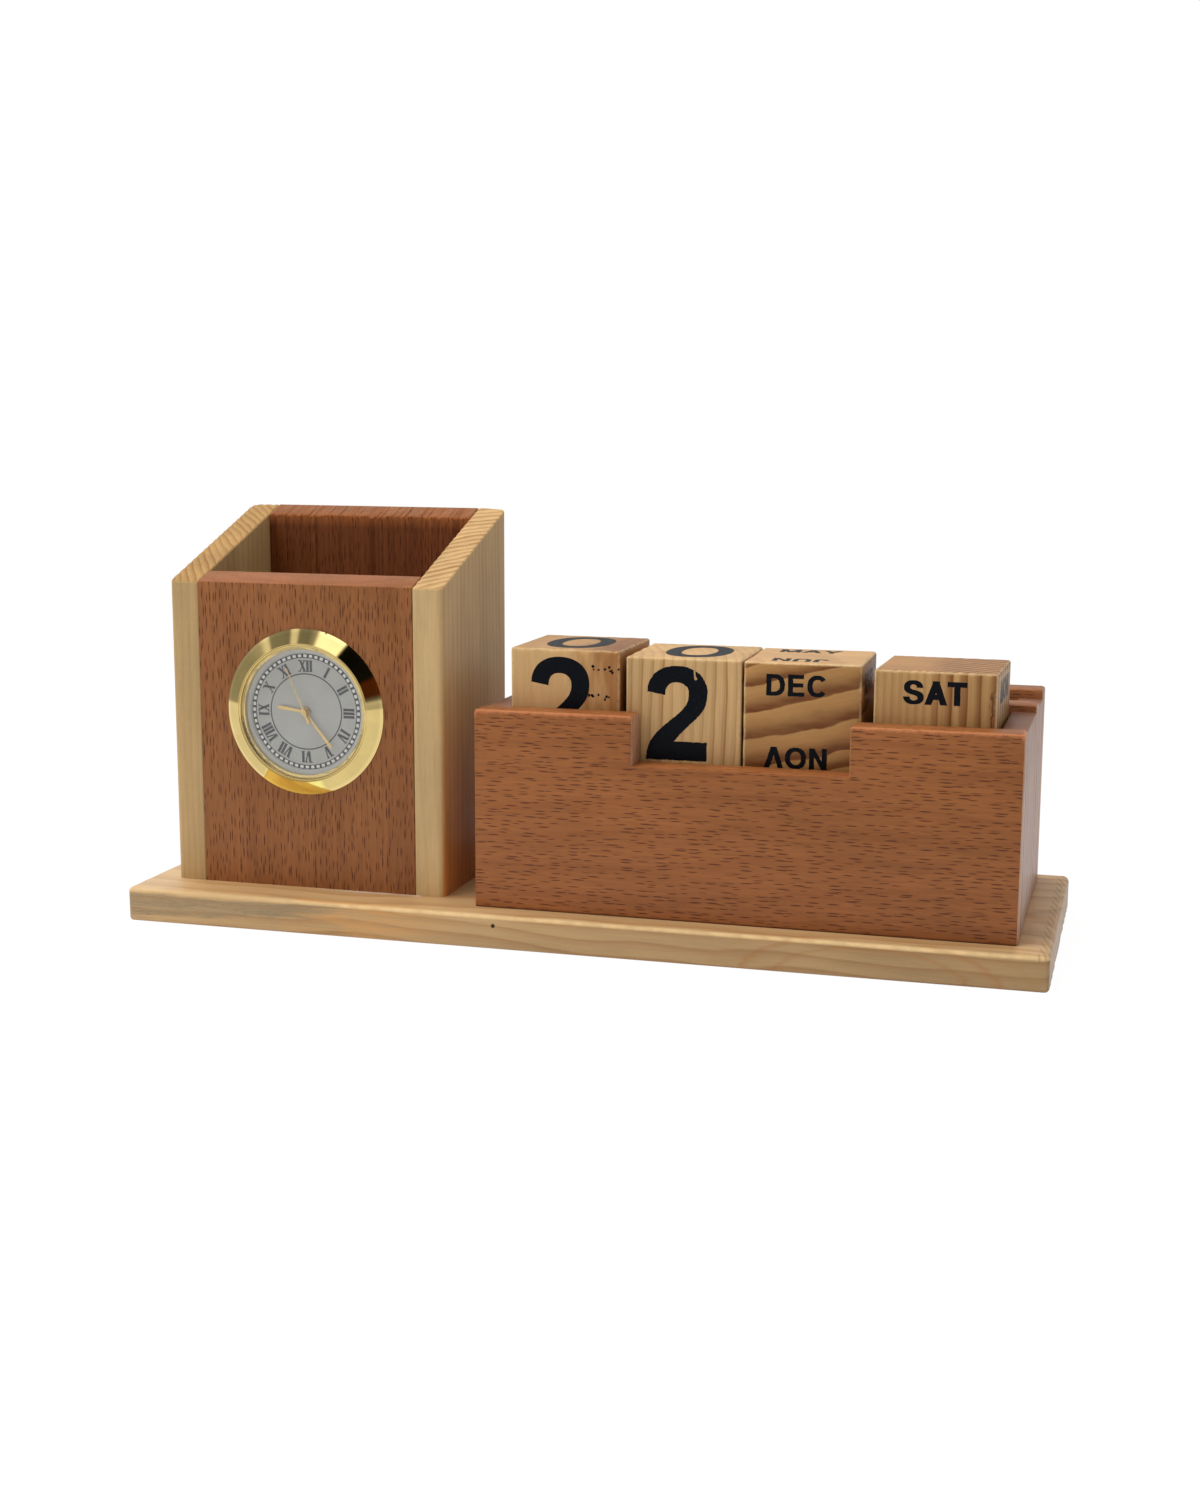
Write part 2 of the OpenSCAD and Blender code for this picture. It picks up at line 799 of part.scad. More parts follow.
module hour_wheel() {
    color("gold") at_clock() {
        ring(pipe_r, -1.1, hour_hand_z + hand_t, cannon_r + run);
        gear(hour_teeth, hour_m, -1.1, -0.88, pipe_r - 0.1,
            gap_towards(hour_teeth, minute_dir));
    }
}

module minute_wheel() {
    color("gold") at_clock() translate(minute_at) {
        gear(minute_teeth, cannon_m, -1.42, -1.22, 0.19,
            gap_towards(minute_teeth, minute_dir + 180));
        gear(minute_leaves, hour_m, -1.25, -0.85, 0.19, minute_dir + 180);
    }
}

module third_wheel() {
    color("gold") at_clock() translate(third_at) {
        train_arbor();
        gear(third_teeth, seconds_pinion_m, -3.2, -3.05, pivot_r / 2,
            gap_towards(third_teeth, third_dir + 180));
        gear(third_leaves, centre_m, -3.1, -2.45, pivot_r / 2, third_dir + 180);
    }
}

module fifth_wheel() {
    color("gold") at_clock() translate(fifth_at) {
        train_arbor();
        gear(fifth_teeth, rotor_m, -3.85, -3.68, pivot_r / 2,
            gap_towards(fifth_teeth, rotor_dir));
        gear(fifth_leaves, seconds_m, -3.7, -3.3, pivot_r / 2,
            gap_towards(fifth_leaves, fifth_dir + 180));
    }
}

module rotor() {
    color("gold") at_clock() translate(rotor_at) {
        train_arbor();
        gear(rotor_leaves, rotor_m, -3.9, -3.4, pivot_r / 2, rotor_dir + 180);
        ring(0.3, -3.5, -3.3);
    }
}

module rotor_magnet() {
    color("slategray") at_clock() translate(rotor_at) ring(magnet_r, -3.3, -2.5, pivot_r);
}

// ---- hand setting ----

module along_stem(from, to, r) {
    translate([from, 0, stem_z]) rotate([0, 90, 0]) cylinder(r = r, h = to - from);
}

module setting_stem() {
    color("silver") at_clock() {
        along_stem(4.6, lever_x - 0.03, stem_r);
        along_stem(lever_x - 0.1, lever_x + lever_t + 0.1, groove_r);
        along_stem(lever_x + lever_t + 0.03, crown_x + 1.1, stem_r);
    }
}

module clutch_pinion() {
    color("silver") at_clock() difference() {
        along_stem(4.8, 5.9, 0.42);
        along_stem(4.8 - cut, 5.9 + cut, stem_r);
        for (turn = [0:60:300]) translate([4.8, 0, stem_z]) rotate([turn, 0, 0])
            board(-cut, -0.06, stem_r / 2, cut + 0.2, 0.12, stem_r);
    }
}

module setting_lever() {
    color("silver") at_clock() difference() {
        board(lever_x, lever_foot, stem_z - 0.5, lever_t, lever_w,
            plate_back_z - stem_z + 0.48);
        along_stem(lever_x - cut, lever_x + lever_t + cut, groove_r + 0.04);
        board(lever_x - cut, lever_foot - cut, stem_z - 0.2, lever_t + 2 * cut,
            cut - lever_foot, 0.4);
    }
}

module crown() {
    color("silver") at_clock() difference() {
        translate([crown_x, 0, stem_z]) rotate([0, 90, 0]) linear_extrude(crown_l)
            polygon(gear_points(24, 2 * crown_r / 25.6, 0));
        along_stem(crown_x - cut, crown_x + 1.1, stem_r);
    }
}

base_board();
base_screws();
cup_left_side();
cup_right_side();
cup_front_panel();
cup_back_panel();
tray_front_panel();
tray_middle_panel();
tray_back_panel();
block_shelf();
left_front_spacer();
right_front_spacer();
left_rear_spacer();
right_rear_spacer();
tens_block();
units_block();
month_block();
weekday_block();
clock_bezel();
clock_lens();
clock_case();
grip_ring();
dial_ring();
dial();
movement_holder();
back_cover();
main_plate();
train_bridge();
movement_screws();
battery();
battery_clip();
coil_core();
coil_winding();
stator();
circuit_board();
timing_chip();
quartz_crystal();
second_hand();
minute_hand();
hour_hand();
seconds_wheel();
centre_wheel();
hour_wheel();
minute_wheel();
third_wheel();
fifth_wheel();
rotor();
rotor_magnet();
setting_lever();
setting_stem();
clutch_pinion();
crown();
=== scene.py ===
# Looks of a desk clock with a pen cup, a card slot and four calendar blocks.
# Lengths are metres unless a name or comment says mm. The reader looks along +Y.
import math
import random
from math import cos, hypot, pi, radians, sin

import bmesh
import bpy
from mathutils import Matrix, Vector, geometry


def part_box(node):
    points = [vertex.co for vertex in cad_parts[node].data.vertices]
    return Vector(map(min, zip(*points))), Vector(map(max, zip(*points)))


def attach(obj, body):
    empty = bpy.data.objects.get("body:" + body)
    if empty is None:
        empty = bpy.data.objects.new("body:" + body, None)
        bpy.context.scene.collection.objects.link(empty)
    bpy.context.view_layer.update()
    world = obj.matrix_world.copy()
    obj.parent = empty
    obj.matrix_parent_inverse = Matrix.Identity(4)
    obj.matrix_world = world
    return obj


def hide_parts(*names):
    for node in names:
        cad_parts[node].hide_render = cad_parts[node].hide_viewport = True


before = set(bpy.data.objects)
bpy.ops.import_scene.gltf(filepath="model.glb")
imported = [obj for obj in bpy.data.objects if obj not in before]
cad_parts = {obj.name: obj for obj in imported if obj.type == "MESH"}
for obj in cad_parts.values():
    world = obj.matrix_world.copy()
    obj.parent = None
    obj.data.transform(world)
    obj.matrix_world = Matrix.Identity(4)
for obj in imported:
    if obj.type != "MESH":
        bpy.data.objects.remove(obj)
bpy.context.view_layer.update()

MM = 0.001
UP = Vector((0, 0, 1))
AHEAD = Vector((0, -1, 0))      # towards the reader
BACK = Vector((0, 1, 0))
RIGHT = Vector((1, 0, 0))

# Upper corners of the cup, whose rim slants between them
CUP_BACK_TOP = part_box("cup_left_side")[1]
CUP_FRONT_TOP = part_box("cup_front_panel")[1]
RIM_SLOPE = (CUP_BACK_TOP.z - CUP_FRONT_TOP.z) / (CUP_BACK_TOP.y - CUP_FRONT_TOP.y)


def add_object(name, data):
    thing = bpy.data.objects.new(name, data)
    bpy.context.collection.objects.link(thing)
    return thing


def mesh_from(name, bm):
    mesh = bpy.data.meshes.new(name)
    bm.to_mesh(mesh)
    bm.free()
    return mesh


def box_mm(node):
    return [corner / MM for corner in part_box(node)]


# ---- camera ----

CAMERA_AT = Vector((0.12059, -0.43341, 0.11606))
CAMERA_TURN = 15.7256           # about Z, degrees
CAMERA_TILT = 80.1919           # from straight down
CAMERA_ROLL = 0.2131
FOCAL_PX = 2008.52              # for an image 1500 px high
IMAGE_H_PX = 1500
SENSOR_MM = 36


def add_camera():
    data = bpy.data.cameras.new("camera")
    data.sensor_width = SENSOR_MM
    data.lens = FOCAL_PX / IMAGE_H_PX * SENSOR_MM
    data.clip_start = 0.01
    camera = add_object("camera", data)
    turn = Matrix.Rotation(radians(CAMERA_TURN), 4, "Z")
    tilt = Matrix.Rotation(radians(CAMERA_TILT), 4, "X")
    roll = Matrix.Rotation(radians(CAMERA_ROLL), 4, "Z")
    camera.matrix_world = Matrix.Translation(CAMERA_AT) @ turn @ tilt @ roll
    bpy.context.scene.camera = camera


add_camera()

# ---- node helper ----


class Graph:
    """Builds a node tree in short lines. A socket or a plain value can be given as any input."""

    def __init__(self, tree):
        self.tree = tree
        tree.nodes.clear()

    def put(self, socket, value):
        if isinstance(value, bpy.types.NodeSocket):
            self.tree.links.new(value, socket)
        elif socket.type == "RGBA":
            socket.default_value = (*value[:3], 1)
        else:
            socket.default_value = value

    def add(self, kind, inputs=(), **settings):
        node = self.tree.nodes.new("ShaderNode" + kind)
        for key, value in settings.items():
            setattr(node, key, value)
        for key, value in dict(inputs).items():
            self.put(node.inputs[key], value)
        return node

    def math(self, operation, *values, clamp=False):
        """A Math node, or a chain of them for more than two values."""
        while len(values) > 2:
            values = (self.math(operation, *values[:2]), *values[2:])
        inputs = dict(enumerate(values))
        return self.add("Math", inputs, operation=operation, use_clamp=clamp).outputs[0]

    def plus(self, *values, **settings):
        return self.math("ADD", *values, **settings)

    def minus(self, a, b):
        return self.math("SUBTRACT", a, b)

    def times(self, *values, **settings):
        return self.math("MULTIPLY", *values, **settings)

    def vector(self, operation, *values):
        node = self.add("VectorMath", dict(enumerate(values)), operation=operation)
        return node.outputs["Value"] if operation in ("DOT_PRODUCT", "LENGTH") else node.outputs[0]

    def dot(self, a, b):
        return self.vector("DOT_PRODUCT", a, b)

    def axes(self, place):
        """The coordinates of a point, to the right, to the back and up."""
        return [self.dot(place, axis) for axis in (RIGHT, BACK, UP)]

    def length(self, a):
        return self.vector("LENGTH", a)

    def mix(self, share, a, b, blend="MIX"):
        node = self.tree.nodes.new("ShaderNodeMix")
        node.data_type = "RGBA"
        node.blend_type = blend
        self.put(node.inputs[0], share)
        self.put(node.inputs[6], a)
        self.put(node.inputs[7], b)
        return node.outputs[2]

    def tint(self, colour, factor, share=None):
        """The colour times a factor, or a share of that over the colour."""
        tinted = self.mix(1.0, colour, factor, "MULTIPLY")
        return tinted if share is None else self.mix(share, colour, tinted)

    def shade(self, colour, tone):
        """The colour times a grey value."""
        return self.tint(colour, self.add("CombineXYZ", {0: tone, 1: tone, 2: tone}).outputs[0])

    def ramp(self, value, stops):
        node = self.add("ValToRGB", {0: value})
        ramp = node.color_ramp
        while len(ramp.elements) < len(stops):
            ramp.elements.new(0.5)
        for element, (place, tone) in zip(ramp.elements, stops):
            element.position = place
            element.color = (*tone, 1) if isinstance(tone, tuple) else (tone, tone, tone, 1)
        return node.outputs[0]

    def remap(self, value, from_low, from_high, to_low=0, to_high=1):
        inputs = {0: value, 1: from_low, 2: from_high, 3: to_low, 4: to_high}
        return self.add("MapRange", inputs).outputs[0]

    def spread(self, noise, reach, low=0.3):
        """A noise as a value from -reach to reach."""
        return self.remap(noise, low, 1 - low, -reach, reach)

    def noise(self, place, scale=1.0, detail=2.0, rough=0.5):
        """Noise at a scale, which may be one number or one for each axis."""
        if isinstance(scale, tuple):
            place, scale = self.vector("MULTIPLY", place, scale), 1.0
        inputs = {"Vector": place, "Scale": scale, "Detail": detail, "Roughness": rough}
        return self.add("TexNoise", inputs).outputs["Fac"]

    def place_mm(self):
        """The point on the piece, in millimetres, fixed to the piece."""
        where = self.add("TexCoord").outputs["Object"]
        return self.vector("MULTIPLY", where, (1 / MM, 1 / MM, 1 / MM))


def srgb(r, g, b):
    """Linear colour from 0-255 display values."""
    return tuple((c / 255 / 12.92) if c <= 10 else ((c / 255 + 0.055) / 1.055) ** 2.4
                 for c in (r, g, b))


def principled(name, colour, build, **constants):
    """A material with the shader's constants and with what build(graph) gives for its inputs."""
    material = bpy.data.materials.new(name)
    material.use_nodes = True
    g = Graph(material.node_tree)
    shader = g.add("BsdfPrincipled")
    shader.inputs["Base Color"].default_value = (*colour, 1)
    for key, value in constants.items():
        g.put(shader.inputs[key.replace("_", " ")], value)
    for key, value in build(g).items():
        g.put(shader.inputs[key], value)
    g.put(g.add("OutputMaterial").inputs["Surface"], shader.outputs[0])
    return material


def bump(g, height, distance_mm, strength):
    inputs = {"Height": height, "Distance": distance_mm * MM, "Strength": strength}
    return g.add("Bump", inputs).outputs[0]


# ---- wood ----

# Width, depth and height in mm and turn in degrees of each block, as in the CAD part
BLOCK_SIZES = {
    "tens_block": (24.5, 25.3, 26.1, -0.5),
    "units_block": (25.1, 25.1, 25.1, 0.8),
    "month_block": (24.9, 24.7, 25.0, 1.2),
    "weekday_block": (25.4, 24.8, 24.3, -1.4),
}


class Grain:
    """Growth rings of one board: where its pith lies, their spacing and how they wander, in mm.

    along is the direction of the fibres, u and v lie across it. The same formula serves the
    material and the ridges that the rings leave on a sanded edge.
    """

    def __init__(self, u, v, pith, spacing, waves):
        self.u = Vector(u).normalized()
        self.v = Vector(v).normalized()
        self.along = self.u.cross(self.v).normalized()
        self.pith = pith
        self.spacing = spacing
        self.waves = waves

    def phase(self, point):
        p = point / MM
        rings = hypot(p.dot(self.u) - self.pith[0], p.dot(self.v) - self.pith[1])
        sway = sum(h * sin(p.dot(Vector(k)) + s) for h, k, s in self.waves)
        return rings / self.spacing + sway

    def phase_nodes(self, g, place):
        a = g.minus(g.dot(place, self.u), self.pith[0])
        b = g.minus(g.dot(place, self.v), self.pith[1])
        squares = g.plus(g.times(a, a), g.times(b, b))
        total = g.math("DIVIDE", g.math("SQRT", squares), self.spacing)
        for height, k, shift in self.waves:
            swing = g.math("SINE", g.plus(g.dot(place, k), shift))
            total = g.plus(total, g.times(swing, height))
        return total

    def frame_nodes(self, g, place):
        """The point as (across, across, along)."""
        parts = [g.dot(place, axis) for axis in (self.u, self.v, self.along)]
        return g.add("CombineXYZ", dict(enumerate(parts))).outputs[0]


FLECK = srgb(82, 38, 18)
FLECK_ROW, FLECK_PITCH = 0.85, 3.7      # mm between flecks across and along the fibres
FLECK_SHAPE = (1 / 0.17, 1 / 0.38)      # one over a fleck's half size, in shares of those
SOFT_RING = ((0.0, 0.0), (0.35, 0.10), (0.72, 0.62), (0.88, 1.0), (0.97, 0.35), (1.0, 0.0))


def wood(name, grain, early, late, rings=0.6, ring_shape=SOFT_RING, even=0.55, end_rings=1.5,
         v_rings=1.0, end_tint_and_sheen=(0.98, 0.92, 0.84), fibre=0.10, blotch=0.12, streak=0.0, saw=0.0,
         flecks=0.0, coat=0.12, specular=0.25, seed=0.0, wobble_share=0.7, finish=None):
    """Varnished wood: rings, fibres, slow blotches and, on beech, short dark flecks.

    even is the share of a ring's contrast that every ring has. end_rings and v_rings change the
    contrast on end grain and on faces across the grain's v axis. finish(g, place, colour) gives
    the last colour.
    """

    def build(g):
        place = g.place_mm()
        local = g.vector("ADD", grain.frame_nodes(g, place), (seed, seed * 0.7, seed * 1.3))
        facing = g.add("TexCoord").outputs["Normal"]
        end = g.math("ABSOLUTE", g.dot(facing, grain.along))
        end = g.remap(end, 0.5, 0.75)
        across = g.math("ABSOLUTE", g.dot(facing, grain.v))
        wobble = g.noise(local, (0.22, 0.22, 0.03), 3.0)
        phase = g.plus(grain.phase_nodes(g, place), g.times(wobble, wobble_share))
        ring = g.ramp(g.math("FRACT", phase), ring_shape)
        year = g.add("TexWhiteNoise", {"W": g.math("FLOOR", phase)}, noise_dimensions="1D")
        weight = g.remap(year.outputs["Value"], 0, 1, rings * even, rings)
        weight = g.times(weight, g.remap(across, 0.5, 0.9, 1.0, v_rings))
        weight = g.times(weight, g.remap(end, 0, 1, 1.0, end_rings), clamp=True)
        colour = g.mix(g.times(ring, weight), early, late)
        # Tint of the end grain; on the tray's boards and spacers it is a painted pale reflection.
        colour = g.tint(colour, end_tint_and_sheen, end)

        fibres = g.noise(local, (5.0, 5.0, 0.12), 4.0, 0.65)
        fine = g.noise(local, (14.0, 14.0, 0.7), 2.0)
        slow = g.noise(local, (0.10, 0.10, 0.02), 3.0, 0.6)
        tone = g.plus(g.spread(fibres, fibre, 0.25), g.spread(fine, fibre * 0.5, 0.25),
                      g.spread(slow, blotch))
        if streak:
            lines = g.noise(local, (1.6, 1.6, 0.10), 3.0, 0.6)
            tone = g.plus(tone, g.spread(lines, streak))
        if saw:
            marks = g.noise(local, (0.15, 0.15, 1.1), 2.0)
            tone = g.plus(tone, g.spread(marks, saw))
        colour = g.shade(colour, g.plus(tone, 1.0))
        height = g.plus(g.times(fibres, 0.5), g.times(ring, -0.25))
        if flecks:
            bend = g.noise(local, (0.3, 0.3, 0.07), 1.0)
            sideways = g.dot(local, (1 / FLECK_ROW, 1 / FLECK_ROW, 0))
            spot = g.add("CombineXYZ", {0: g.plus(sideways, g.times(bend, 0.9)),
                                        1: g.dot(local, (0, 0, 1 / FLECK_PITCH))})
            cell = g.add("TexVoronoi", {"Vector": spot.outputs[0], "Scale": 1.0, "Randomness": 0.9},
                         voronoi_dimensions="2D")
            chance = g.dot(cell.outputs["Color"], (1, 0, 0))
            size = g.remap(g.dot(cell.outputs["Color"], (0, 1, 0)), 0, 1, 0.65, 1.2)
            away = g.vector("SUBTRACT", spot.outputs[0], cell.outputs["Position"])
            away = g.length(g.vector("MULTIPLY", away, (*FLECK_SHAPE, 0)))
            dash = g.remap(g.math("DIVIDE", away, size), 0.6, 1.1, 1.0, 0.0)
            dash = g.times(dash, g.remap(chance, 0.1, 0.35), g.minus(1.0, end))
            colour = g.mix(g.times(dash, flecks), colour, FLECK)
            height = g.plus(height, g.times(dash, -1.0))
        if finish:
            colour = finish(g, place, colour)
        rough = g.remap(fibres, 0.2, 0.8, 0.36, 0.5)
        return {"Base Color": colour, "Roughness": rough, "Normal": bump(g, height, 0.06, 0.6)}

    return principled(name, early, build, Coat_Weight=coat, Coat_Roughness=0.18,
                      Specular_IOR_Level=specular)


def edge_share(g, place, node, reach_mm):
    """1 at the edges of a board or block, 0 a little way from them, ragged."""
    low, high = box_mm(node)
    *size, turn = BLOCK_SIZES.get(node, (*(high - low), 0))
    offset = g.vector("SUBTRACT", place, (low + high) / 2)
    spin = Matrix.Rotation(radians(turn), 3, "Z")
    gaps = []
    for i in range(3):
        axis = spin @ Vector([1 if i == j else 0 for j in range(3)])
        away = g.math("ABSOLUTE", g.dot(offset, axis))
        gaps.append(g.minus(size[i] / 2, away))
    a, b, c = gaps
    least, most = g.math("MINIMUM", a, b), g.math("MAXIMUM", a, b)
    middle = g.math("MAXIMUM", least, g.math("MINIMUM", most, c))
    rub = g.noise(place, 0.9, 3.0, 0.6)
    return g.remap(middle, g.times(rub, reach_mm * 0.6),
                   g.times(rub, reach_mm * 2.2), 1.0, 0.0)


# Lighter edges: partly wear, partly a painted highlight where the edges catch the light.
def edge_wear_and_highlight(node, colour_at_edge, reach_mm, share, more=None, top_only=False):
    def finish(g, place, colour):
        if more:
            colour = more(g, place, colour)
        edge = edge_share(g, place, node, reach_mm)
        if top_only:
            top = box_mm(node)[1].z
            edge = g.times(edge, g.remap(g.dot(place, UP), top - 2, top - 1))
        return g.mix(g.times(edge, share), colour, colour_at_edge)
    return finish


# Fibre directions: upright boards, and boards along the base
UPRIGHT = ((1, 0, 0), (0, 1, 0))
LENGTHWISE = ((0, 1, 0), (0, 0, 1))

CUP_SIDE_GRAIN = Grain(*UPRIGHT, (-190, -75), 1.5,
                       ((0.35, (0.12, 0.05, 0.02), 0.4), (0.12, (0.5, 0.0, 0.03), 1.9)))
CUP_SIDE_GRAIN_R = Grain(*UPRIGHT, (20, -95), 2.2,
                         ((0.35, (0.15, 0.05, 0.03), 2.0), (0.12, (0.4, 0.1, 0.05), 0.3)))
CUP_FRONT_GRAIN = Grain(*UPRIGHT, (-60, 60), 3.4, ((0.4, (0.06, 0.0, 0.02), 1.0),))
CUP_BACK_GRAIN = Grain(*UPRIGHT, (30, -90), 3.1, ((0.4, (0.08, 0.0, 0.02), 2.0),))
TRAY_GRAIN = Grain(*LENGTHWISE, (60, -70), 4.2, ((0.5, (0.03, 0.0, 0.08), 0.5),))
SHELF_GRAIN = Grain(*LENGTHWISE, (0, -40), 2.4, ((0.3, (0.05, 0.0, 0.0), 0.2),))
BASE_GRAIN = Grain(*LENGTHWISE, (-6, -48), 2.6,
                   ((0.55, (0.022, 0.02, 0.0), 0.9), (0.22, (0.07, 0.05, 0.1), 2.6),
                    (0.10, (0.19, 0.0, 0.2), 0.7)))
TENS_GRAIN = Grain(*UPRIGHT, (-40, 90), 2.1, ((0.3, (0.1, 0.1, 0.05), 1.0),))
UNITS_GRAIN = Grain(*UPRIGHT, (-60, -40), 2.15, ((0.25, (0.1, 0.1, 0.06), 0.0),))
MONTH_TILT = radians(14)
MONTH_GRAIN = Grain((0, 1, 0), (-sin(MONTH_TILT), 0, cos(MONTH_TILT)), (-35, 130.1), 6.1,
                    ((0.05, (0.12, 0.2, 0.1), 0.3), (0.02, (0.5, 0.1, 0.2), 0.0)))
WEEKDAY_GRAIN = Grain(*UPRIGHT, (97, -46), 1.25, ((0.15, (0.16, 0.05, 0.05), 1.0),))

PINE_EARLY = srgb(206, 174, 124)
PINE_LATE = srgb(160, 112, 60)
BEECH_RED = srgb(152, 97, 57)
BEECH_RED_DARK = srgb(126, 74, 42)
BEECH_ORANGE = srgb(157, 97, 54)
BEECH_ORANGE_DARK = srgb(134, 77, 40)
CREAM = srgb(240, 214, 166)

PIN_HOLE_MM = (-14.95, box_mm("base_board")[0].y, 5.2)


def base_finish(g, place, colour):
    """Painted light falling off to the right along the front and lifting the tray's shadow on the
    top, paler at the top's left end, weathered grey at the front's left, a painted highlight on the
    front edge, end marks, glue at the cup, a pin hole.
    """
    low, high = box_mm("base_board")
    x, y, z = g.axes(place)
    front = g.remap(y, low.y + 1.0, low.y + 1.8, 1, 0)
    # Painted light: the front darker towards the right, as if lit from the left.
    painted_light = g.remap(x, -110, 120, 1.06, 0.76)
    painted_light = g.plus(1.0, g.times(front, g.minus(painted_light, 1.0)))
    # Painted light on the top beside the tray, lifting the tray's shadow there.
    shadow_lift = g.times(g.remap(x, 94.5, 96.0, 0, 0.22), g.remap(z, high.z - 0.8, high.z - 0.3))
    painted_light = g.plus(painted_light, shadow_lift)
    colour = g.shade(colour, painted_light)

    left = g.times(g.remap(x, -96, -88, 0.26, 0), g.remap(z, high.z - 0.8, high.z - 0.3))
    colour = g.mix(left, colour, srgb(250, 226, 186))

    cloud = g.noise(place, (0.06, 0.4, 0.9), 4.0, 0.65)
    bottom = g.plus(z, g.spread(cloud, 0.9))
    reach = g.plus(x, g.spread(cloud, 7))
    above = g.minus(bottom, g.remap(x, -98, -62, 0.6, 3.2))
    stain = g.times(g.remap(reach, -58, -48, 1, 0), g.remap(above, 0, 0.9),
                    g.remap(bottom, 6.2, 6.9, 1, 0), front, g.remap(cloud, 0.3, 0.65, 0.35, 0.85))
    colour = g.mix(stain, colour, srgb(152, 134, 104))
    lines = g.noise(place, (0.5, 0.6, 3.4), 4.0, 0.75)
    colour = g.mix(g.times(stain, g.remap(lines, 0.5, 0.66, 0, 0.55)), colour, srgb(106, 90, 68))
    glow = g.times(g.remap(reach, -62, -48), g.remap(reach, -36, -22, 1, 0),
                   g.remap(cloud, 0.4, 0.6, 0, 0.5))
    colour = g.mix(g.times(glow, front), colour, srgb(226, 164, 92))

    arch = g.vector("SUBTRACT", place, (66, low.y, 0))
    arch = g.length(g.vector("MULTIPLY", arch, (1 / 22, 0, 1 / 7.3)))
    rings = g.plus(g.times(arch, 3.2), g.spread(cloud, 0.12))
    rings = g.ramp(g.math("FRACT", rings), ((0.0, 0.0), (0.55, 0.05), (0.85, 1.0), (1.0, 0.0)))
    rings = g.times(rings, g.remap(arch, 0.7, 0.95, 0, 0.4), g.remap(arch, 1.2, 1.6, 1, 0))
    colour = g.mix(g.times(rings, front), colour, srgb(176, 110, 48))

    spots = g.noise(place, (0.3, 0.3, 0.3), 3.0)
    # Painted highlight along the rounded top of the front edge.
    shine = g.times(g.remap(z, high.z - 1.2, high.z - 0.85),
                    g.remap(z, high.z - 0.45, high.z - 0.1, 1, 0),
                    g.remap(y, low.y + 1.4, low.y + 1.8, 1, 0),
                    g.remap(spots, 0.35, 0.6, 0.45, 0.7), g.remap(x, -75, -50, 0.35, 1.0))
    colour = g.mix(shine, colour, srgb(255, 218, 158))

    strokes = g.plus(g.math("DIVIDE", y, 4.6), g.times(x, 0.74))
    strokes = g.ramp(g.math("FRACT", strokes),
                     ((0.0, 1.0), (0.2, 0.8), (0.32, 0.0), (0.85, 0.0), (1.0, 1.0)))
    strokes = g.times(strokes, g.remap(x, high.x - 2.7, high.x - 2.2, 0, 0.45),
                      g.remap(x, high.x - 1.1, high.x - 0.6, 1, 0),
                      g.remap(z, high.z - 1.6, high.z - 0.9))
    colour = g.mix(strokes, colour, srgb(112, 88, 62))

    joint = box_mm("cup_front_panel")[0].y - 0.5
    glue = g.remap(g.math("ABSOLUTE", g.minus(y, joint)), 0.5, 0.9, 1, 0)
    glue = g.times(glue, g.remap(reach, -62, -56), g.remap(x, -36.5, -35, 1, 0),
                   g.remap(spots, 0.35, 0.6, 0.3, 0.9))
    colour = g.mix(glue, colour, srgb(226, 206, 190))
    hole = g.length(g.vector("SUBTRACT", place, PIN_HOLE_MM))
    return g.mix(g.remap(hole, 0.35, 0.55, 1, 0), colour, srgb(30, 18, 10))


def inner_painted_shade(g, place, colour):
    """Painted shade on the inner face of the cup's back: redder, and darker from a little below the
    rim.
    """
    y, z = g.dot(place, BACK), g.dot(place, UP)
    top = CUP_BACK_TOP.z / MM
    face = box_mm("cup_back_panel")[0].y
    inner = g.remap(y, face + 0.3, face + 0.8, 1, 0)
    # Painted shade, deepening a little below the rim.
    share = g.times(inner, g.remap(z, top - 5, top - 2, 1, 0))
    colour = g.tint(colour, (1.03, 0.84, 0.62), inner)
    return g.mix(g.times(share, 0.62), colour, srgb(60, 16, 0))


def painted_foot_shade(g, place, colour):
    """Painted shade on the right side's outer face: darker and redder towards its foot, beside the
    tray.
    """
    x, z = (g.dot(place, axis) for axis in (RIGHT, UP))
    face = box_mm("cup_right_side")[1].x
    share = g.times(g.remap(x, face - 0.8, face - 0.2), g.remap(z, 14, 58, 1, 0))
    return g.tint(colour, (1.1, 0.70, 0.42), share)


def tray_end_sheen(g, place, colour):
    """Painted pale reflection in streaks down the sawn right ends of the tray's boards."""
    facing = g.dot(g.add("TexCoord").outputs["Normal"], RIGHT)
    lines = g.noise(place, (0.0, 1.3, 0.05), 3.0, 0.6)
    share = g.times(g.remap(facing, 0.7, 0.9), g.remap(lines, 0.40, 0.66, 0.04, 0.32))
    return g.mix(share, colour, srgb(255, 235, 220))


def tray_joint(g, place, colour):
    """A dark line along the foot where the tray stands on the base."""
    z = g.dot(place, UP)
    foot = box_mm("tray_front_panel")[0].z
    colour = g.mix(g.remap(z, foot + 0.15, foot + 0.5, 0.75, 0), colour, srgb(60, 22, 10))
    return tray_end_sheen(g, place, colour)


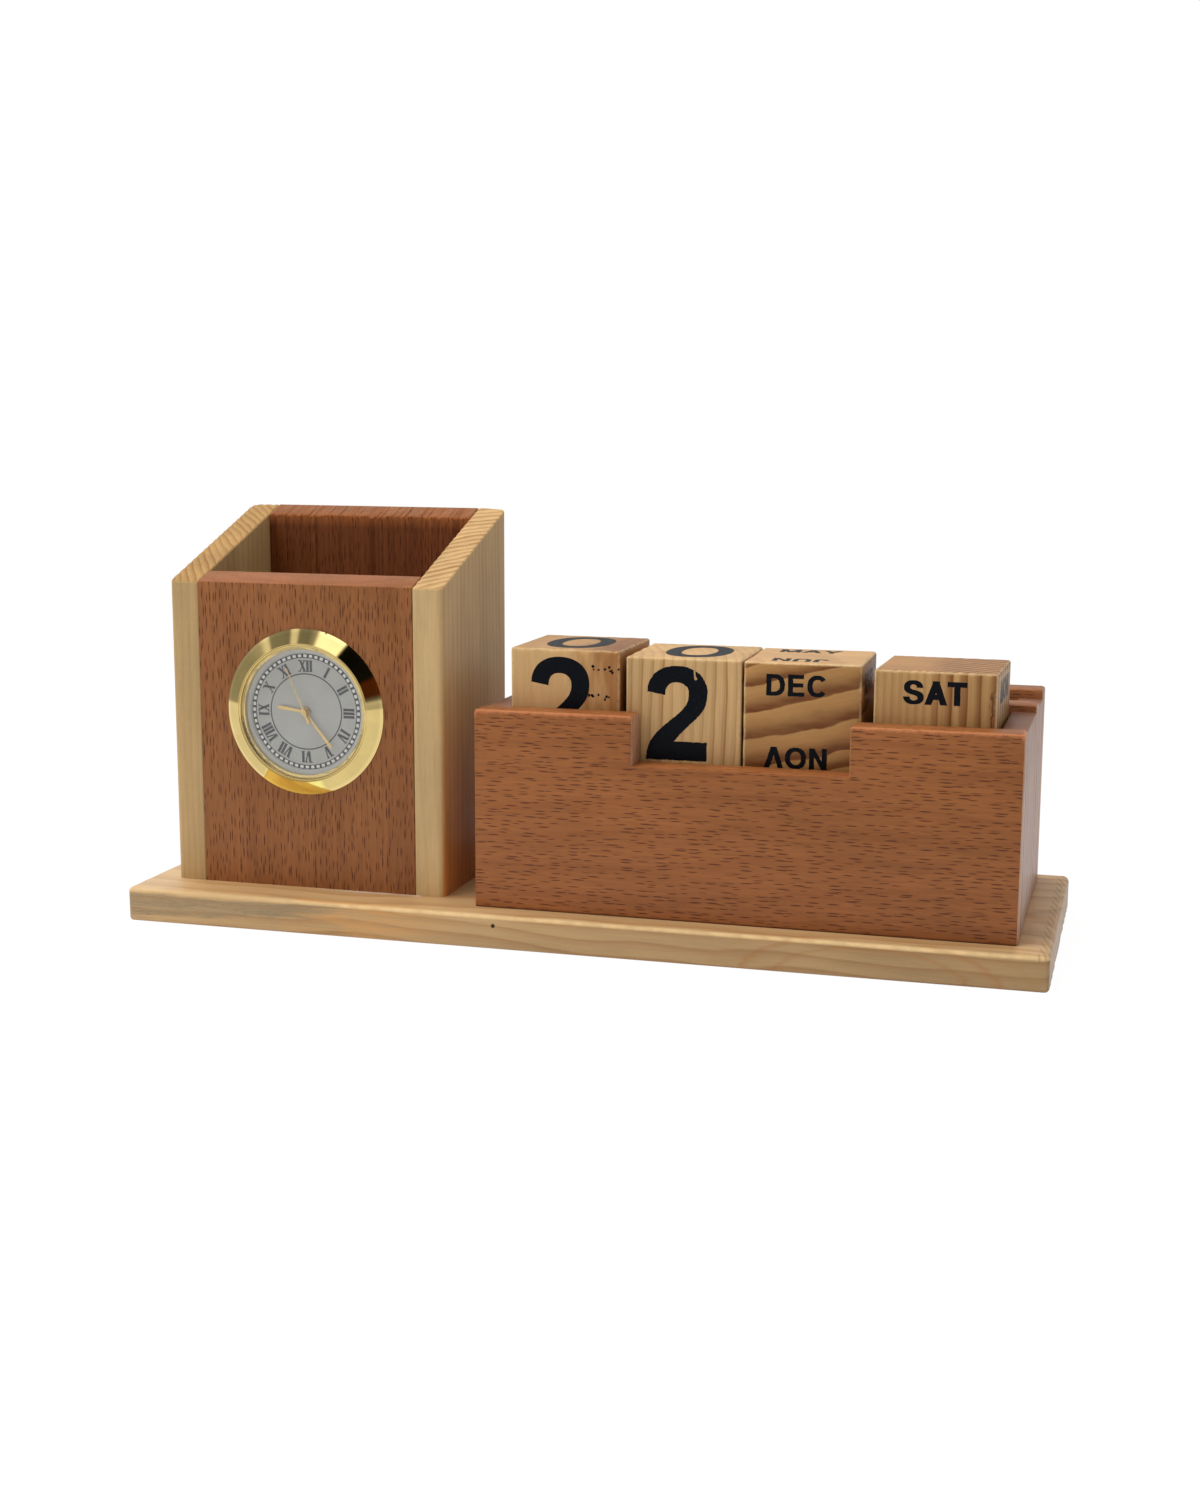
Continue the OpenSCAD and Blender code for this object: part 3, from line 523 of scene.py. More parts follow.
# The base's grey end tint is partly darker end grain and partly painted shade.
base_pine = wood("base_pine", BASE_GRAIN, srgb(204, 167, 118), srgb(164, 112, 62), rings=0.75,
                 end_tint_and_sheen=(0.88, 0.86, 0.88), seed=3, finish=base_finish)
SIDE_LOOK = dict(rings=0.4, v_rings=0.55, end_rings=2.6, saw=0.012, coat=0.06, specular=0.18)
left_pine = wood("left_pine", CUP_SIDE_GRAIN, srgb(192, 160, 112), PINE_LATE,
                 end_tint_and_sheen=(0.93, 0.83, 0.62), seed=11, **SIDE_LOOK)
right_pine = wood("right_pine", CUP_SIDE_GRAIN_R, PINE_EARLY, PINE_LATE, streak=0.05,
                  end_tint_and_sheen=(1.04, 0.97, 0.88), seed=23, finish=painted_foot_shade, **SIDE_LOOK)
shelf_pine = wood("shelf_pine", SHELF_GRAIN, PINE_EARLY, PINE_LATE, rings=0.5, seed=31)
cup_beech = wood("cup_beech", CUP_FRONT_GRAIN, BEECH_RED, BEECH_RED_DARK, rings=0.4, end_rings=1.0,
                 end_tint_and_sheen=(1.08, 1.06, 1.12), fibre=0.12, blotch=0.08, flecks=0.8, streak=0.13,
                 coat=0.05, specular=0.17, seed=5)
cup_back_beech = wood("cup_back_beech", CUP_BACK_GRAIN, BEECH_RED, BEECH_RED_DARK, rings=0.5,
                      end_rings=1.0, end_tint_and_sheen=(1.0, 1.0, 1.1), flecks=0.7, streak=0.13,
                      coat=0.0, specular=0.15, seed=15, finish=inner_painted_shade)
# The ends' tint here is a painted pale reflection, not the wood's colour.
TRAY_LOOK = dict(rings=0.4, end_rings=1.0, end_tint_and_sheen=(1.32, 1.6, 2.1), fibre=0.12, blotch=0.08,
                 flecks=0.8, streak=0.12, coat=0.08, specular=0.2, seed=9)
tray_beech = wood("tray_beech", TRAY_GRAIN, BEECH_ORANGE, BEECH_ORANGE_DARK, finish=tray_end_sheen,
                  **TRAY_LOOK)
front_beech = wood("front_beech", TRAY_GRAIN, BEECH_ORANGE, BEECH_ORANGE_DARK,
                   finish=edge_wear_and_highlight("tray_front_panel", srgb(222, 142, 94), 0.8, 0.62, tray_joint,
                                     top_only=True), **TRAY_LOOK)
# Its ends' tint is a painted pale reflection.
spacer_beech = wood("spacer_beech", TRAY_GRAIN, srgb(138, 96, 74), srgb(112, 76, 58), rings=0.4,
                    end_rings=1.0, end_tint_and_sheen=(1.42, 1.55, 1.75), fibre=0.10, coat=0.05, specular=0.2,
                    seed=9, finish=tray_end_sheen)


def top_light_and_shade(g, place, colour, node, share):
    """Painted light and shade on the block's top: its colour times a share."""
    top = box_mm(node)[1].z
    z = g.dot(place, UP)
    return g.tint(colour, share, g.remap(z, top - 0.5, top - 0.2))


def from_corner(g, place, node):
    """mm right, back and down from the upper left front corner of a node's box."""
    low, high = box_mm(node)
    x, y, z = g.axes(place)
    return g.minus(x, low.x), g.minus(y, low.y), g.minus(high.z, z)


def tens_finish(g, place, colour):
    """Heartwood on the block's right side, and painted shade on its top."""
    # Painted shade on the top.
    colour = top_light_and_shade(g, place, colour, "tens_block", (0.74, 0.69, 0.66))
    middle = sum(corner.x for corner in box_mm("tens_block")) / 2
    x = g.minus(g.dot(place, RIGHT), middle)
    cloud = g.noise(place, (0.5, 0.5, 0.12), 3.0)
    share = g.remap(g.plus(x, g.spread(cloud, 3)), 0.0, 9.0)
    return g.tint(colour, (0.58, 0.42, 0.30), share)


def weekday_finish(g, place, colour):
    """Broad dark bands on the block's right half, a split near its front right edge, and painted
    shade on the top.
    """
    x, y, z = from_corner(g, place, "weekday_block")
    lean = g.minus(x, g.times(y, 0.75))
    sway = g.noise(place, (0.3, 0.3, 0.05), 2.0)
    bands = g.math("FRACT", g.plus(g.math("DIVIDE", lean, 2.9), g.times(sway, 0.5)))
    dark = g.ramp(bands, ((0.0, 0.0), (0.2, 0.0), (0.45, 0.55), (0.78, 1.0), (0.86, 0.2),
                          (1.0, 0.0)))
    dark = g.times(dark, g.remap(x, 10, 14))
    colour = g.tint(colour, (0.42, 0.26, 0.13), dark)
    # Painted shade on the top.
    colour = top_light_and_shade(g, place, colour, "weekday_block", (0.84, 0.78, 0.74))
    flaw = g.noise(place, (1.2, 1.2, 0.5), 3.0)
    near = g.math("ABSOLUTE", g.minus(x, g.remap(flaw, 0.3, 0.7, 23.9, 24.7)))
    crack = g.times(g.remap(near, 0.1, 0.35, 0.8, 0), g.remap(y, 1.0, 1.6, 1, 0),
                    g.remap(z, 3, 5))
    return g.mix(crack, colour, srgb(70, 34, 14))


# Lower edges of the month block's dark bands, mm down from its upper left corner across the bands
BAND_EDGES_MM = (1.55, 5.4, 11.1, 17.0, 23.0, 26.6, 32.0)


def month_finish(g, place, colour):
    """Broad bands that rise to the right, each darker towards its sharp lower edge, and a painted
    pale sheen on the top.
    """
    x, y, z = from_corner(g, place, "month_block")
    down = g.plus(g.times(z, cos(MONTH_TILT)), g.times(x, sin(MONTH_TILT)), g.times(y, 0.10))
    bend = g.noise(place, (0.12, 0.2, 0.2), 2.0)
    down = g.plus(down, g.spread(bend, 0.5))
    reach = BAND_EDGES_MM[-1]
    stops = [(0.0, 0.3)]
    for above, edge in zip((-4.0, *BAND_EDGES_MM), BAND_EDGES_MM):
        span = edge - above
        stops += [((above + span * 0.42) / reach, 0.25), ((edge - span * 0.18) / reach, 0.95),
                  ((edge - 0.15) / reach, 1.0), ((edge + 0.12) / reach, 0.0)]
    stops = [(min(at, 1.0), tone) for at, tone in stops if at > 0]
    dark = g.ramp(g.math("DIVIDE", down, reach), stops)
    rub = g.noise(place, (0.15, 0.15, 0.9), 3.0)
    dark = g.times(dark, g.remap(rub, 0.3, 0.7, 0.75, 1.0), g.remap(z, 0.2, 0.6, 0.22, 1.0))
    # Painted pale sheen on the top.
    colour = top_light_and_shade(g, place, colour, "month_block", (1.26, 1.38, 1.7))
    return g.tint(colour, (0.30, 0.155, 0.075), dark)


LINE_RING = ((0.0, 0.0), (0.45, 0.05), (0.62, 0.5), (0.70, 0.35), (0.86, 1.0), (0.93, 0.3),
             (1.0, 0.0))
BLOCK_LOOK = dict(coat=0.06, specular=0.2)
tens_pine = wood("tens_pine", TENS_GRAIN, srgb(214, 174, 120), srgb(196, 148, 92), rings=0.4,
                 seed=41, finish=edge_wear_and_highlight("tens_block", CREAM, 0.5, 0.5, tens_finish),
                 **BLOCK_LOOK)
units_pine = wood("units_pine", UNITS_GRAIN, srgb(212, 174, 120), srgb(152, 90, 38), rings=0.85,
                  even=0.35, end_rings=0.55, ring_shape=LINE_RING, seed=43,
                  finish=edge_wear_and_highlight("units_block", CREAM, 0.5, 0.5), **BLOCK_LOOK)
month_pine = wood("month_pine", MONTH_GRAIN, srgb(190, 143, 86), srgb(158, 103, 52), rings=0.12,
                  seed=47, finish=edge_wear_and_highlight("month_block", CREAM, 0.55, 0.6, month_finish),
                  **BLOCK_LOOK)
WEEKDAY_RING = ((0.0, 0.0), (0.35, 0.1), (0.6, 0.8), (0.85, 1.0), (1.0, 0.0))
weekday_pine = wood("weekday_pine", WEEKDAY_GRAIN, srgb(203, 161, 105), srgb(166, 112, 60),
                    rings=0.5, ring_shape=WEEKDAY_RING, wobble_share=0.4, seed=53,
                    finish=edge_wear_and_highlight("weekday_block", CREAM, 0.5, 0.6, weekday_finish),
                    **BLOCK_LOOK)


# ---- other materials ----

# Grain in mm and its detail, scale and tones of the wear, range of the roughness, bump in mm
METAL = (0.4, 3.0, 0.25, (0.94, 1.04), (0.85, 1.2), 0.002)
PLASTIC = (0.15, 2.0, 0.3, (0.93, 1.05), (0.88, 1.15), 0.004)


def surface(kind, name, colour, rough, grain_mm=None, finish=None):
    """Metal or plastic, with fine grain in its shine and slow wear in its colour."""
    usual_grain, detail, scale, tones, spans, bump_mm = kind

    def build(g):
        place = g.place_mm()
        cloud = g.noise(place, 1 / (grain_mm or usual_grain), detail)
        wear = g.noise(place, scale, 2.0)
        tone = g.shade(colour, g.remap(wear, 0.3, 0.7, *tones))
        return {
            "Base Color": finish(g, place, tone) if finish else tone,
            "Roughness": g.remap(cloud, 0.3, 0.7, *(rough * span for span in spans)),
            "Normal": bump(g, cloud, bump_mm, 0.3),
        }
    return principled(name, colour, build, Metallic=float(kind is METAL))


def bezel_tone(g, place, colour):
    """Painted reflection of the wood towards the foot of the ring, and a paler tone along its outer
    rim.
    """
    low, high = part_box("clock_bezel")
    middle = (low + high) / 2 / MM
    away = g.vector("MULTIPLY", g.vector("SUBTRACT", place, middle), (1, 0, 1))
    radius = g.length(away)
    down = g.math("DIVIDE", g.dot(away, (-0.156, 0, -0.988)), radius)
    # Painted reflection of the wood on the lower part of the cone.
    foot = g.times(g.remap(down, 0.895, 0.925), g.remap(radius, 15.5, 15.7))
    rim = g.remap(radius, 17.8, 18.2, 0, 0.8)
    colour = g.tint(colour, (1.4, 1.62, 1.25), foot)
    return g.tint(colour, (1.2, 1.2, 1.3), rim)


bezel_gold = surface(METAL, "bezel_gold", srgb(214, 190, 126), 0.05, 3.0, bezel_tone)
dial_ink = surface(PLASTIC, "dial_ink", srgb(14, 16, 20), 0.6)
square_white = surface(PLASTIC, "square_white", srgb(226, 226, 220), 0.5)


def ink_nodes(g):
    place = g.place_mm()
    specks = g.remap(g.noise(place, 3.0, 3.0, 0.6), 0.60, 0.72)
    return {
        "Base Color": g.mix(specks, srgb(5, 8, 16), srgb(34, 40, 50)),
        "Roughness": g.remap(g.noise(place, 1.5, 2.0), 0.3, 0.7, 0.34, 0.48),
        "Normal": bump(g, g.noise(place, 4.0, 2.0), 0.01, 0.4),
    }


block_ink = principled("block_ink", srgb(5, 8, 16), ink_nodes, Specular_IOR_Level=0.1)
lens_clear = principled("lens_clear", (1, 1, 1), lambda g: {
    "Roughness": g.remap(g.noise(g.place_mm(), 0.5), 0.3, 0.7, 0.015, 0.03),
}, Alpha=0.06, Specular_IOR_Level=0.5)


# ---- mesh helpers ----

SHARP_DEG = 35                  # least angle of an edge that is rounded
TINY = 1e-6


def add_piece(name, bm, material, body, nodes=(), sharp_deg=32):
    """Turns the mesh into a piece that rides on a body and may stand for CAD nodes."""
    bmesh.ops.recalc_face_normals(bm, faces=bm.faces)
    mesh = mesh_from(name, bm)
    mesh.materials.append(material)
    mesh.polygons.foreach_set("use_smooth", [True] * len(mesh.polygons))
    mesh.set_sharp_from_angle(angle=radians(sharp_deg))
    piece = add_object(name, mesh)
    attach(piece, body)
    if nodes:
        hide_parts(*nodes)


def box_mesh(low, high):
    bm = bmesh.new()
    bmesh.ops.create_cube(bm, size=1)
    for v in bm.verts:
        v.co = Vector([high[i] if v.co[i] > 0 else low[i] for i in range(3)])
    return bm


def prism(outline, to_point, depth):
    """A closed prism: to_point(u, v) gives the near face, and depth is the way to the far one."""
    bm = bmesh.new()
    near = [bm.verts.new(to_point(u, v)) for u, v in outline]
    far = [bm.verts.new(v.co + depth) for v in near]
    bm.faces.new(near)
    bm.faces.new(reversed(far))
    for i in range(len(near)):
        j = (i + 1) % len(near)
        bm.faces.new((near[j], near[i], far[i], far[j]))
    bmesh.ops.recalc_face_normals(bm, faces=bm.faces)
    return bm


def round_edges(bm, radius_mm, segments=3, keep=lambda a, b: True):
    """Rounds the outward edges for which keep(end, end) holds."""
    edges = [e for e in bm.edges if len(e.link_faces) == 2
             and e.calc_face_angle_signed(0) > radians(SHARP_DEG)
             and keep(e.verts[0].co, e.verts[1].co)]
    bmesh.ops.bevel(bm, geom=edges, offset=radius_mm * MM, segments=segments, profile=0.5,
                    affect="EDGES", clamp_overlap=True)


def near_top(high, reach):
    """Holds for edges that lie within a reach of the top."""
    return lambda a, b: min(a.z, b.z) > high.z - reach


def off_foot(low):
    """Holds for all edges but those of the foot."""
    return lambda a, b: max(a.z, b.z) > low.z + MM


def slice_along(bm, axis, step_mm):
    """Cuts the faces at even steps along an axis, so that the points between can be moved."""
    normal = Vector([1 if i == axis else 0 for i in range(3)])
    low = min(v.co[axis] for v in bm.verts)
    high = max(v.co[axis] for v in bm.verts)
    count = max(1, round((high - low) / (step_mm * MM)))
    for i in range(1, count):
        at = normal * (low + (high - low) * i / count)
        geom = bm.verts[:] + bm.edges[:] + bm.faces[:]
        bmesh.ops.bisect_plane(bm, geom=geom, plane_co=at, plane_no=normal, dist=1e-7)


def smooth_step(value):
    t = min(max(value, 0.0), 1.0)
    return t * t * (3 - 2 * t)


def ridge(grain, point):
    """0 on the hard late wood of a ring, 1 in its soft early wood."""
    part = grain.phase(point) % 1.0
    return 0.5 + 0.5 * cos(2 * pi * (part - 0.35))


# ---- base ----

BASE_ROUND_MM = 1.8             # roundings of the top, of the upright edges and of the foot
BASE_CORNER_MM = 1.2
BASE_FOOT_MM = 0.7
END_RIDGE_MM = 0.12             # depth of the soft rings on the sawn ends
END_REACH_MM = 2.4              # how far in from the ends they show


def make_base():
    low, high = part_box("base_board")
    bm = box_mesh(low, high)
    round_edges(bm, BASE_CORNER_MM, 4, lambda a, b: abs(a.z - b.z) > MM)
    round_edges(bm, BASE_ROUND_MM, 6, near_top(high, TINY))
    round_edges(bm, BASE_FOOT_MM, 3, lambda a, b: max(a.z, b.z) < low.z + TINY)
    slice_along(bm, 1, step_mm=0.5)
    slice_along(bm, 0, step_mm=6.0)
    for v in bm.verts:
        for end, way in ((low.x, 1), (high.x, -1)):
            near = smooth_step(1 - abs(v.co.x - end) / (END_REACH_MM * MM))
            if near > 0:
                v.co.x += way * near * END_RIDGE_MM * MM * ridge(BASE_GRAIN, v.co)
    add_piece("base_body", bm, base_pine, "stand", ("base_board",))


# ---- pen cup ----

RIDGE_MM = 0.17                 # depth of the soft rings on the sanded rim
RIM_REACH_MM = 1.0              # how far down from the rim they show
RIM_BAND = 0.01                 # height of the band that holds the slanted rim's edges
SIDE_FRONT_MM = 1.5             # roundings of the sides' outer corners, and of their other edges
SIDE_BACK_MM = 2.2
SIDE_EDGE_MM = 0.45
FRONT_RIM_MM = 0.28             # roundings of the front's rim and corners, and of the back's rim
FRONT_CORNER_MM = 0.22
BACK_RIM_MM = 0.35
NICK_STEP_MM = 0.35             # width, depth and reach of the torn fibres inside the back's rim
NICK_DEPTH_MM = 0.6
NICK_REACH_MM = 1.2
BORE_R = 16.7 * MM
BORE_POINTS = 96


def rim_height(y):
    """Height of the cup's slanted rim."""
    return CUP_BACK_TOP.z + (y - CUP_BACK_TOP.y) * RIM_SLOPE


def slanted_box(node):
    low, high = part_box(node)
    bm = box_mesh(low, high)
    for v in bm.verts:
        if v.co.z > (low.z + high.z) / 2:
            v.co.z = rim_height(v.co.y)
    bmesh.ops.recalc_face_normals(bm, faces=bm.faces)
    return bm, low, high


def make_cup_side(node, grain, material):
    bm, low, high = slanted_box(node)
    outer = low.x if "left" in node else high.x
    for radius, y in ((SIDE_FRONT_MM, low.y), (SIDE_BACK_MM, high.y)):
        round_edges(bm, radius, 5,
                    lambda a, b: a.x == b.x == outer and max(abs(a.y - y), abs(b.y - y)) < TINY)
    round_edges(bm, SIDE_EDGE_MM, 3, off_foot(low))
    slice_along(bm, 1, step_mm=0.4)
    slice_along(bm, 0, step_mm=0.8)
    for v in bm.verts:
        below = (rim_height(v.co.y) - v.co.z) / (RIM_REACH_MM * MM)
        v.co.z -= smooth_step(1 - below) * RIDGE_MM * MM * ridge(grain, v.co)
    add_piece(node.replace("side", "board"), bm, material, "stand", (node,))


def cut_bore(bm, centre):
    """The board with a round hole along Y cut through it."""
    tool = bmesh.new()
    bmesh.ops.create_cone(tool, cap_ends=True, segments=BORE_POINTS, radius1=BORE_R,
                          radius2=BORE_R, depth=0.05, matrix=Matrix.Translation(centre)
                          @ Matrix.Rotation(pi / 2, 4, "X"))
    board, drill = (add_object(name, mesh_from(name, part))
                    for name, part in (("board", bm), ("drill", tool)))
    cut = board.modifiers.new("cut", "BOOLEAN")
    cut.object = drill
    cut.operation = "DIFFERENCE"
    cut.solver = "EXACT"
    bpy.context.view_layer.update()
    shown = board.evaluated_get(bpy.context.evaluated_depsgraph_get())
    result = bmesh.new()
    result.from_mesh(shown.to_mesh())
    for mesh in (board.data, drill.data):
        bpy.data.meshes.remove(mesh)
    return result


def make_cup_front():
    bm, low, high = slanted_box("cup_front_panel")
    round_edges(bm, FRONT_RIM_MM, 2, near_top(high, RIM_BAND))
    round_edges(bm, FRONT_CORNER_MM, 2, lambda a, b: abs(a.z - b.z) > 2 * RIM_BAND)
    bm = cut_bore(bm, Vector((clock_axis.x, (low.y + high.y) / 2, clock_axis.z)))
    add_piece("cup_front_board", bm, cup_beech, "stand", ("cup_front_panel",))


def make_cup_back():
    bm, low, high = slanted_box("cup_back_panel")
    round_edges(bm, BACK_RIM_MM, 2, near_top(high, RIM_BAND))
    slice_along(bm, 0, NICK_STEP_MM)
    draw = random.Random(4)
    nicks = {}
    for v in bm.verts:
        inner = smooth_step(1 - (v.co.y - low.y) / (NICK_REACH_MM * MM))
        below = smooth_step(1 - (rim_height(v.co.y) - v.co.z) / (RIM_REACH_MM * MM))
        key = round(v.co.x / MM / NICK_STEP_MM)
        if key not in nicks:
            nicks[key] = draw.random() ** 2
        v.co.z -= inner * below * NICK_DEPTH_MM * MM * nicks[key]
    add_piece("cup_back_board", bm, cup_back_beech, "stand", ("cup_back_panel",))


# ---- calendar tray ----

NOTCH_W_MM = 46
NOTCH_H_MM = 10.5
TRAY_ROUND_MM = 0.7
SPACER_ROUND_MM = 0.4
SHELF_ROUND_MM = 0.2


def make_tray():
    low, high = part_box("tray_front_panel")
    middle = (low.x + high.x) / 2
    left = middle - NOTCH_W_MM / 2 * MM
    right = middle + NOTCH_W_MM / 2 * MM
    floor = high.z - NOTCH_H_MM * MM
    outline = [(low.x, low.z), (high.x, low.z), (high.x, high.z), (right, high.z),
               (right, floor), (left, floor), (left, high.z), (low.x, high.z)]
    bm = prism(outline, lambda u, v: Vector((u, low.y, v)), Vector((0, high.y - low.y, 0)))
    round_edges(bm, TRAY_ROUND_MM, 2, off_foot(low))
    add_piece("tray_front_board", bm, front_beech, "stand", ("tray_front_panel",))
    for node in ("tray_middle_panel", "tray_back_panel"):
        low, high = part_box(node)
        bm = box_mesh(low, high)
        round_edges(bm, TRAY_ROUND_MM, 2, off_foot(low))
        add_piece(node.replace("panel", "board"), bm, tray_beech, "stand", (node,))
    for side in ("left", "right"):
        for row in ("front", "rear"):
            node = f"{side}_{row}_spacer"
            low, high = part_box(node)
            bm = box_mesh(low, high)
            round_edges(bm, SPACER_ROUND_MM, 2, near_top(high, TINY))
            add_piece(node + "_block", bm, spacer_beech, "stand", (node,))
    bm = box_mesh(*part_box("block_shelf"))
    round_edges(bm, SHELF_ROUND_MM, 1)
    add_piece("shelf_board", bm, shelf_pine, "stand", ("block_shelf",))


# ---- lettering ----
# A glyph is a list of closed outlines in cap heights, which are joined where they overlap.


def bezier_path(start, *pieces, steps=10):
    """Points along lines (one point) and cubic curves (three points)."""
    points = [start]
    for piece in pieces:
        if len(piece) == 1:
            points.append(piece[0])
            continue
        a, (b, c, d) = Vector(points[-1]), map(Vector, piece)
        for i in range(1, steps + 1):
            t = i / steps
            p = a * (1 - t) ** 3 + b * 3 * t * (1 - t) ** 2 + c * 3 * t * t * (1 - t) + d * t ** 3
            points.append(tuple(p))
    return points


def rect(x0, y0, x1, y1):
    return [(x0, y0), (x1, y0), (x1, y1), (x0, y1)]


def slant(x0, y0, x1, y1, w):
    """A bar between two heights, w wide along the line of writing."""
    return [(x0, y0), (x0 + w, y0), (x1 + w, y1), (x1, y1)]


SQUARENESS = 2.3                # 2 for round bows, more for squarer ones


def bow(cx, cy, rx, ry, from_deg, to_deg, w, h):
    """Part of a rounded ring: w thick at its sides and h at its top and bottom."""
    count = max(8, round(abs(to_deg - from_deg) / 7))

    def at(a, b, degrees):
        c, s = cos(radians(degrees)), sin(radians(degrees))
        size = (abs(c) ** SQUARENESS + abs(s) ** SQUARENESS) ** (-1 / SQUARENESS)
        return (cx + a * c * size, cy + b * s * size)

    angles = [from_deg + (to_deg - from_deg) * i / count for i in range(count + 1)]
    outer = [at(rx, ry, a) for a in angles]
    inner = [at(rx - w, ry - h, a) for a in reversed(angles)]
    return outer + inner


DIGIT_TWO = bezier_path(
    (0.005, 0.722), ((0.01, 0.90), (0.14, 1.0), (0.325, 1.0)),
    ((0.52, 1.0), (0.65, 0.89), (0.65, 0.72)), ((0.65, 0.60), (0.61, 0.535), (0.55, 0.47)),
    ((0.47, 0.385), (0.36, 0.29), (0.295, 0.2)), ((0.648, 0.2),), ((0.648, 0.0),),
    ((-0.005, 0.0),), ((-0.005, 0.13), (0.05, 0.235), (0.149, 0.333)),
    ((0.25, 0.43), (0.33, 0.47), (0.40, 0.56)), ((0.44, 0.61), (0.452, 0.65), (0.452, 0.705)),
    ((0.452, 0.78), (0.40, 0.826), (0.318, 0.826)), ((0.24, 0.826), (0.197, 0.78), (0.197, 0.69)))
LETTER_S = bezier_path(
    (0.02, 0.31), ((0.03, 0.1), (0.2, -0.01), (0.42, -0.01)),
    ((0.66, -0.01), (0.82, 0.11), (0.82, 0.29)), ((0.82, 0.48), (0.69, 0.54), (0.52, 0.58)),
    ((0.36, 0.62), (0.24, 0.62), (0.24, 0.72)), ((0.24, 0.8), (0.32, 0.84), (0.41, 0.84)),
    ((0.52, 0.84), (0.58, 0.79), (0.59, 0.70)), ((0.79, 0.70),),
    ((0.78, 0.9), (0.62, 1.01), (0.42, 1.01)), ((0.2, 1.01), (0.04, 0.9), (0.04, 0.70)),
    ((0.04, 0.52), (0.2, 0.45), (0.36, 0.41)), ((0.52, 0.37), (0.62, 0.36), (0.62, 0.26)),
    ((0.62, 0.18), (0.53, 0.15), (0.43, 0.15)), ((0.31, 0.15), (0.23, 0.2), (0.22, 0.31)))


